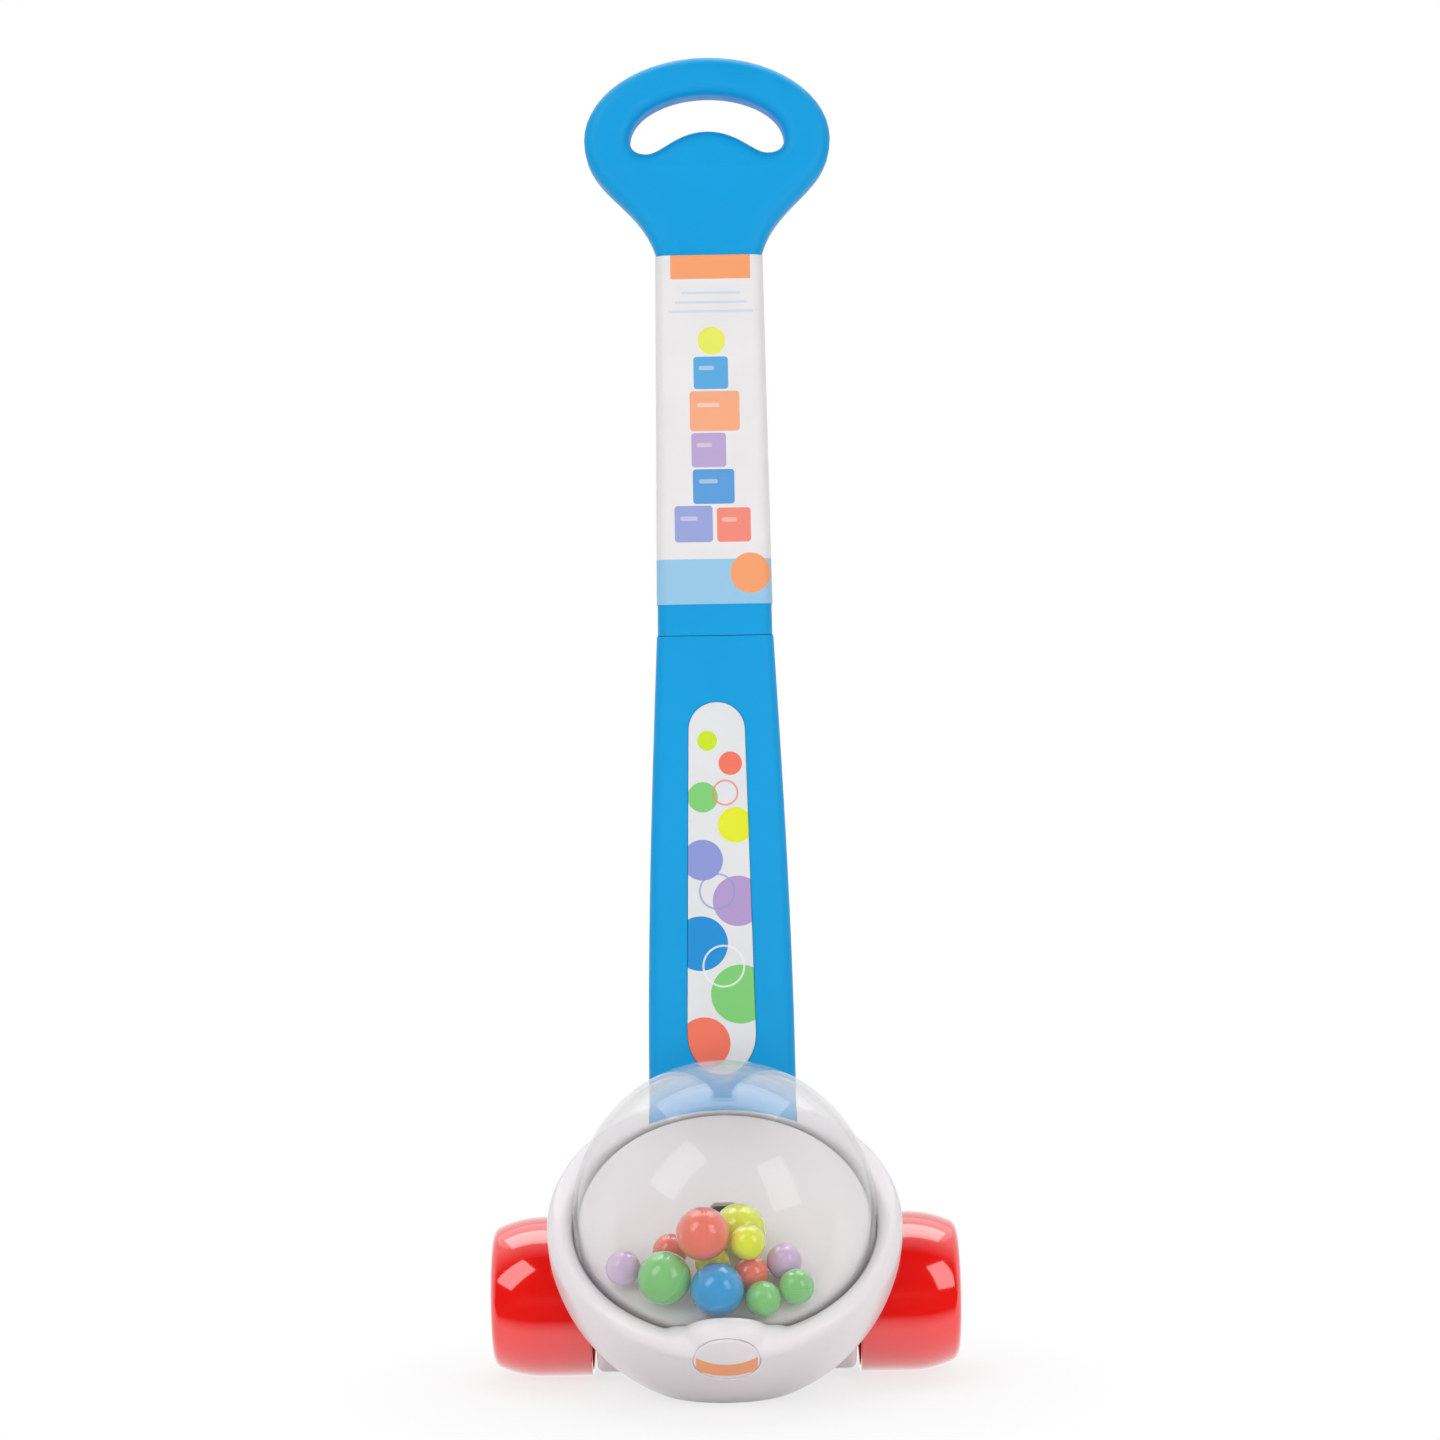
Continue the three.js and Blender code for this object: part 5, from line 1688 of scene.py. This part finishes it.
    def lower(self) -> None:
        """Builds the lower piece, a shell with the recess for the strip."""
        lay, spare = self.layout, self.spare
        thick, edge, foot, seam = lay.handle_thickness, lay.handle_edge, lay.foot_height, lay.seam_height
        solid = self.lower_outline(foot - spare, seam + spare).plate(thick, edge)
        longer = self.lower_outline(foot - 2 * spare, seam + 2 * spare)
        solid.change(Cut.REMOVE, longer.plate(thick, edge, self.wall))
        pocket = self.label_outline(GAP).plate(self.label_pocket).moved(shift(0, -thick / 2, 0))
        solid.change(Cut.REMOVE, pocket, self.above(seam - GAP, self.seam_sag))
        solid.change(Cut.KEEP_COMMON, self.above(foot))
        place = shift(0, thick / 2, lay.handle_screw_height)
        bore = Solid.cylinder(lay.screw_hole, thick / 2, 24, turn(90, "X"), place)
        (left, low), (right, high) = self.window
        solid.change(Cut.REMOVE, bore, Solid.block((left, 0, low), (right, thick, high)))
        solid.change(Cut.JOIN, lay.toe(0).moved(lay.tip, shift(0, -lay.handle_y, 0)))
        self.fit(solid, "lower_handle", self.finishes.blue, "blue_plastic", "handle_lower")

    def upper(self) -> None:
        """Builds the upper piece with the grip and the tongue that slides into the lower piece."""
        lay, spare = self.layout, self.spare
        thick, edge, seam = lay.handle_thickness, lay.handle_edge, lay.seam_height
        outline = self.grip_outline(seam - spare)
        solid = outline.plate(thick, edge).change(Cut.KEEP_COMMON, self.above(seam, self.seam_sag))
        step = self.wall + SLIP
        tongue = self.lower_outline(self.tongue_foot - spare, seam + self.tongue_spare).plate(thick, edge, step)
        tongue.change(Cut.KEEP_COMMON, self.above(self.tongue_foot))
        tongue.change(Cut.REMOVE, self.above(seam + self.wall))
        solid.change(Cut.JOIN, tongue, Solid.block(*self.lug))
        hollow = outline.plate(thick, edge, self.wall).change(Cut.KEEP_COMMON, self.above(seam + self.wall))
        step += self.tongue_wall
        bore = self.lower_outline(self.tongue_foot - spare, seam + step, step).plate(thick - 2 * step)
        solid.change(Cut.REMOVE, hollow, bore)
        self.fit(solid, "upper_handle", self.finishes.blue, "blue_plastic", "handle_upper")

    def strip(self) -> None:
        """Builds the dotted strip in its recess."""
        solid = self.label_outline(0).plate(self.label_thickness, self.label_edge, 0, 2)
        depth = self.label_depth - self.layout.handle_thickness / 2
        self.fit(solid, "dotted_strip", self.finishes.strip, "label", "label_strip", depth)

    def sleeve(self) -> None:
        """Builds the card sleeve round the straight part of the upper handle."""
        lay, low, high = self.layout, self.card_low, self.card_high
        grow, foot = GAP / 3 + self.card, self.card_low - self.card_spare
        wide, slim = self.upper_half(foot) + grow, self.neck_half + grow
        side = sharp((wide, foot), (slim, self.neck_height), (slim, high + self.card_spare))
        outline = Outline().loop(side + mirrored(side))
        thick, edge = lay.handle_thickness + 2 * grow, lay.handle_edge + grow
        solid = outline.plate(thick, edge, 0, 7).change(Cut.REMOVE, outline.plate(thick, edge, self.card, 7))
        solid.change(Cut.KEEP_COMMON, self.above(low)).change(Cut.REMOVE, self.above(high))
        self.fit(solid, "sleeve", self.finishes.card, "card", "card_sleeve")


# What stays from the frame


@dataclass(frozen=True)
class Mechanism(SubAssembly):
    """The hidden gears, shafts and plates, which stay as they are and get their finish."""

    steel: tuple[str, ...] = ("cam_shaft", "striker_pin", "striker_spring")
    grey: tuple[str, ...] = (
        "gearbox_pillar_front", "gearbox_pillar_back", "gearbox_plate_left", "gearbox_plate_right",
        "axle_bush_left", "axle_bush_right", "drive_pinion", "cam_gear", "star_cam", "striker_lever",
    )

    def build(self) -> None:
        """Gives each hidden node its material."""
        for names, material in ((self.steel, self.finishes.steel), (self.grey, self.finishes.grey)):
            for name in names:
                for slot in self.nodes[name].material_slots:
                    slot.material = material
                LOG.info("%s: finished as %s", name, material.name)


# The studio


@dataclass(frozen=True)
class Softbox:
    """A lamp behind a diffuser, aimed at the toy."""

    name: str
    place: Triple
    size: Pair
    radiance: float
    roll: float = 0.0
    lights: bool = True
    mirrored: bool = True

    def light(self, target: Vector) -> None:
        """Hangs the lamp.

        Args:
            target: what it is aimed at.
        """
        data = bpy.data.lights.new(self.name, "AREA")
        data.shape = "RECTANGLE"
        data.size, data.size_y = self.size
        data.energy = self.radiance * math.pi * self.size[0] * self.size[1]
        lamp = show(self.name, data)
        lamp.location = self.place
        lamp.visible_diffuse = self.lights
        lamp.visible_glossy = self.mirrored
        aim = (target - Vector(self.place)).to_track_quat("-Z", "Y").to_matrix().to_4x4()
        lamp.rotation_euler = (aim @ turn(self.roll, "Z")).to_euler()


@dataclass(frozen=True)
class Studio:
    """The camera, the lamps and the white floor and background."""

    target: Triple = (0.0, 0.0, 0.25)
    softboxes: tuple[Softbox, ...] = (
        Softbox("left_softbox", (-0.86, -0.95, 1.04), (0.68, 1.1), 2.5, -25.0),
        Softbox("right_softbox", (1.04, -1.01, 0.76), (0.66, 1.0), 2.35, 6.0),
        Softbox("top_softbox", (0.0, 0.45, 1.6), (1.9, 0.8), 2.1),
        Softbox("back_softbox", (0.0, 0.8, 1.55), (2.4, 1.3), 0.55, lights=False),
        Softbox("fill_softbox", (0.0, -1.3, 0.1), (1.8, 0.2), 3.5, mirrored=False),
    )
    ambient: float = 0.42
    room_in_front: float = 0.05
    lens: float = 87.8
    sensor: float = 36.0
    camera_place: Triple = (1.6 * MM, -1.5666, 0.2975)
    camera_turn: Triple = (90.0, 0.95, 0.0)
    floor_half: float = 6.0
    floor_fade: Pair = (0.06, 0.2)

    def build(self) -> None:
        """Builds the studio."""
        self.camera()
        for softbox in self.softboxes:
            softbox.light(Vector(self.target))
        self.surroundings()
        self.floor()
        bpy.context.scene.view_settings.view_transform = "Standard"

    def camera(self) -> None:
        """Puts the camera where the photograph was taken from."""
        data = bpy.data.cameras.new("camera")
        data.lens = self.lens
        data.sensor_width = self.sensor
        data.clip_end = 50.0
        camera = show("camera", data)
        camera.location = self.camera_place
        camera.rotation_euler = [math.radians(angle) for angle in self.camera_turn]
        bpy.context.scene.camera = camera

    def surroundings(self) -> None:
        """Builds a world that lights the toy softly and shows white behind it, with a dim room in front."""
        world = bpy.data.worlds.new("white_room")
        world.use_nodes = True
        bpy.context.scene.world = world
        sheet = Nodes(world.node_tree)
        back = sheet.tree.nodes["Background"]
        back.inputs["Color"].default_value = (1, 1, 1, 1)
        path = sheet.add("ShaderNodeLightPath").outputs
        seen = sheet.sums("MAXIMUM", path["Is Camera Ray"], path["Is Transmission Ray"])
        deep = sheet.axes(sheet.add("ShaderNodeTexCoord").outputs["Generated"])[1]
        behind = sheet.ramp(deep, -0.4, 0.15, self.room_in_front)
        glossy = sheet.ramp(path["Is Glossy Ray"], low=self.ambient, high=behind)
        sheet.tree.links.new(sheet.ramp(seen, low=glossy), back.inputs["Strength"])

    def floor(self) -> None:
        """Lays a pale floor that fades into the white background and keeps the toy's shadow."""
        bm = bmesh.new()
        bmesh.ops.create_grid(bm, x_segments=8, y_segments=8, size=self.floor_half)
        mesh = bpy.data.meshes.new("floor")
        bm.to_mesh(mesh)
        bm.free()
        floor = show("floor", mesh)
        mesh.materials.append(self.floor_material())

    def floor_material(self) -> bpy.types.Material:
        """White paper near the toy, glowing white for the camera further off.

        Returns:
            Its material.
        """
        sheet = NodeSheet("white_floor")
        sheet.tree.nodes.remove(sheet.shader)
        paper = sheet.add("ShaderNodeBsdfDiffuse", {"Color": Tint.FLOOR.linear()}).outputs[0]
        reach = sheet.vector("LENGTH", sheet.place).outputs["Value"]
        fade = sheet.ramp(reach, *self.floor_fade, 0.72, 1.0, interpolation_type="SMOOTHSTEP")
        path = sheet.add("ShaderNodeLightPath").outputs
        glossy = path["Is Glossy Ray"]
        seen = sheet.sums("MAXIMUM", path["Is Camera Ray"], path["Is Transmission Ray"])
        share = sheet.sums("MAXIMUM", sheet.sums("MULTIPLY", fade, seen), glossy)
        room = sheet.ramp(sheet.axes(sheet.place)[1], -0.06, -0.02, self.room_in_front, 1.0)
        glow = sheet.add("ShaderNodeEmission", {"Strength": sheet.ramp(glossy, low=1.0, high=room)}).outputs[0]
        blend = sheet.add("ShaderNodeMixShader", {0: share, 1: paper, 2: glow}).outputs[0]
        sheet.tree.links.new(blend, sheet.tree.nodes["Material Output"].inputs["Surface"])
        return sheet.result


def main() -> None:
    """Builds the studio and every sub-assembly of the toy on the frame."""
    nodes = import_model()["nodes"]
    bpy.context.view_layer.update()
    Studio().build()
    layout = Layout.from_frame()
    finishes = Finishes(layout)
    for kind in (Base, Screws, DomeSet, Balls, Wheels, Handle, Mechanism):
        kind(finishes, layout, nodes).build()


if __name__ == "__main__":
    logging.basicConfig(level=logging.INFO, format="%(message)s")
    main()
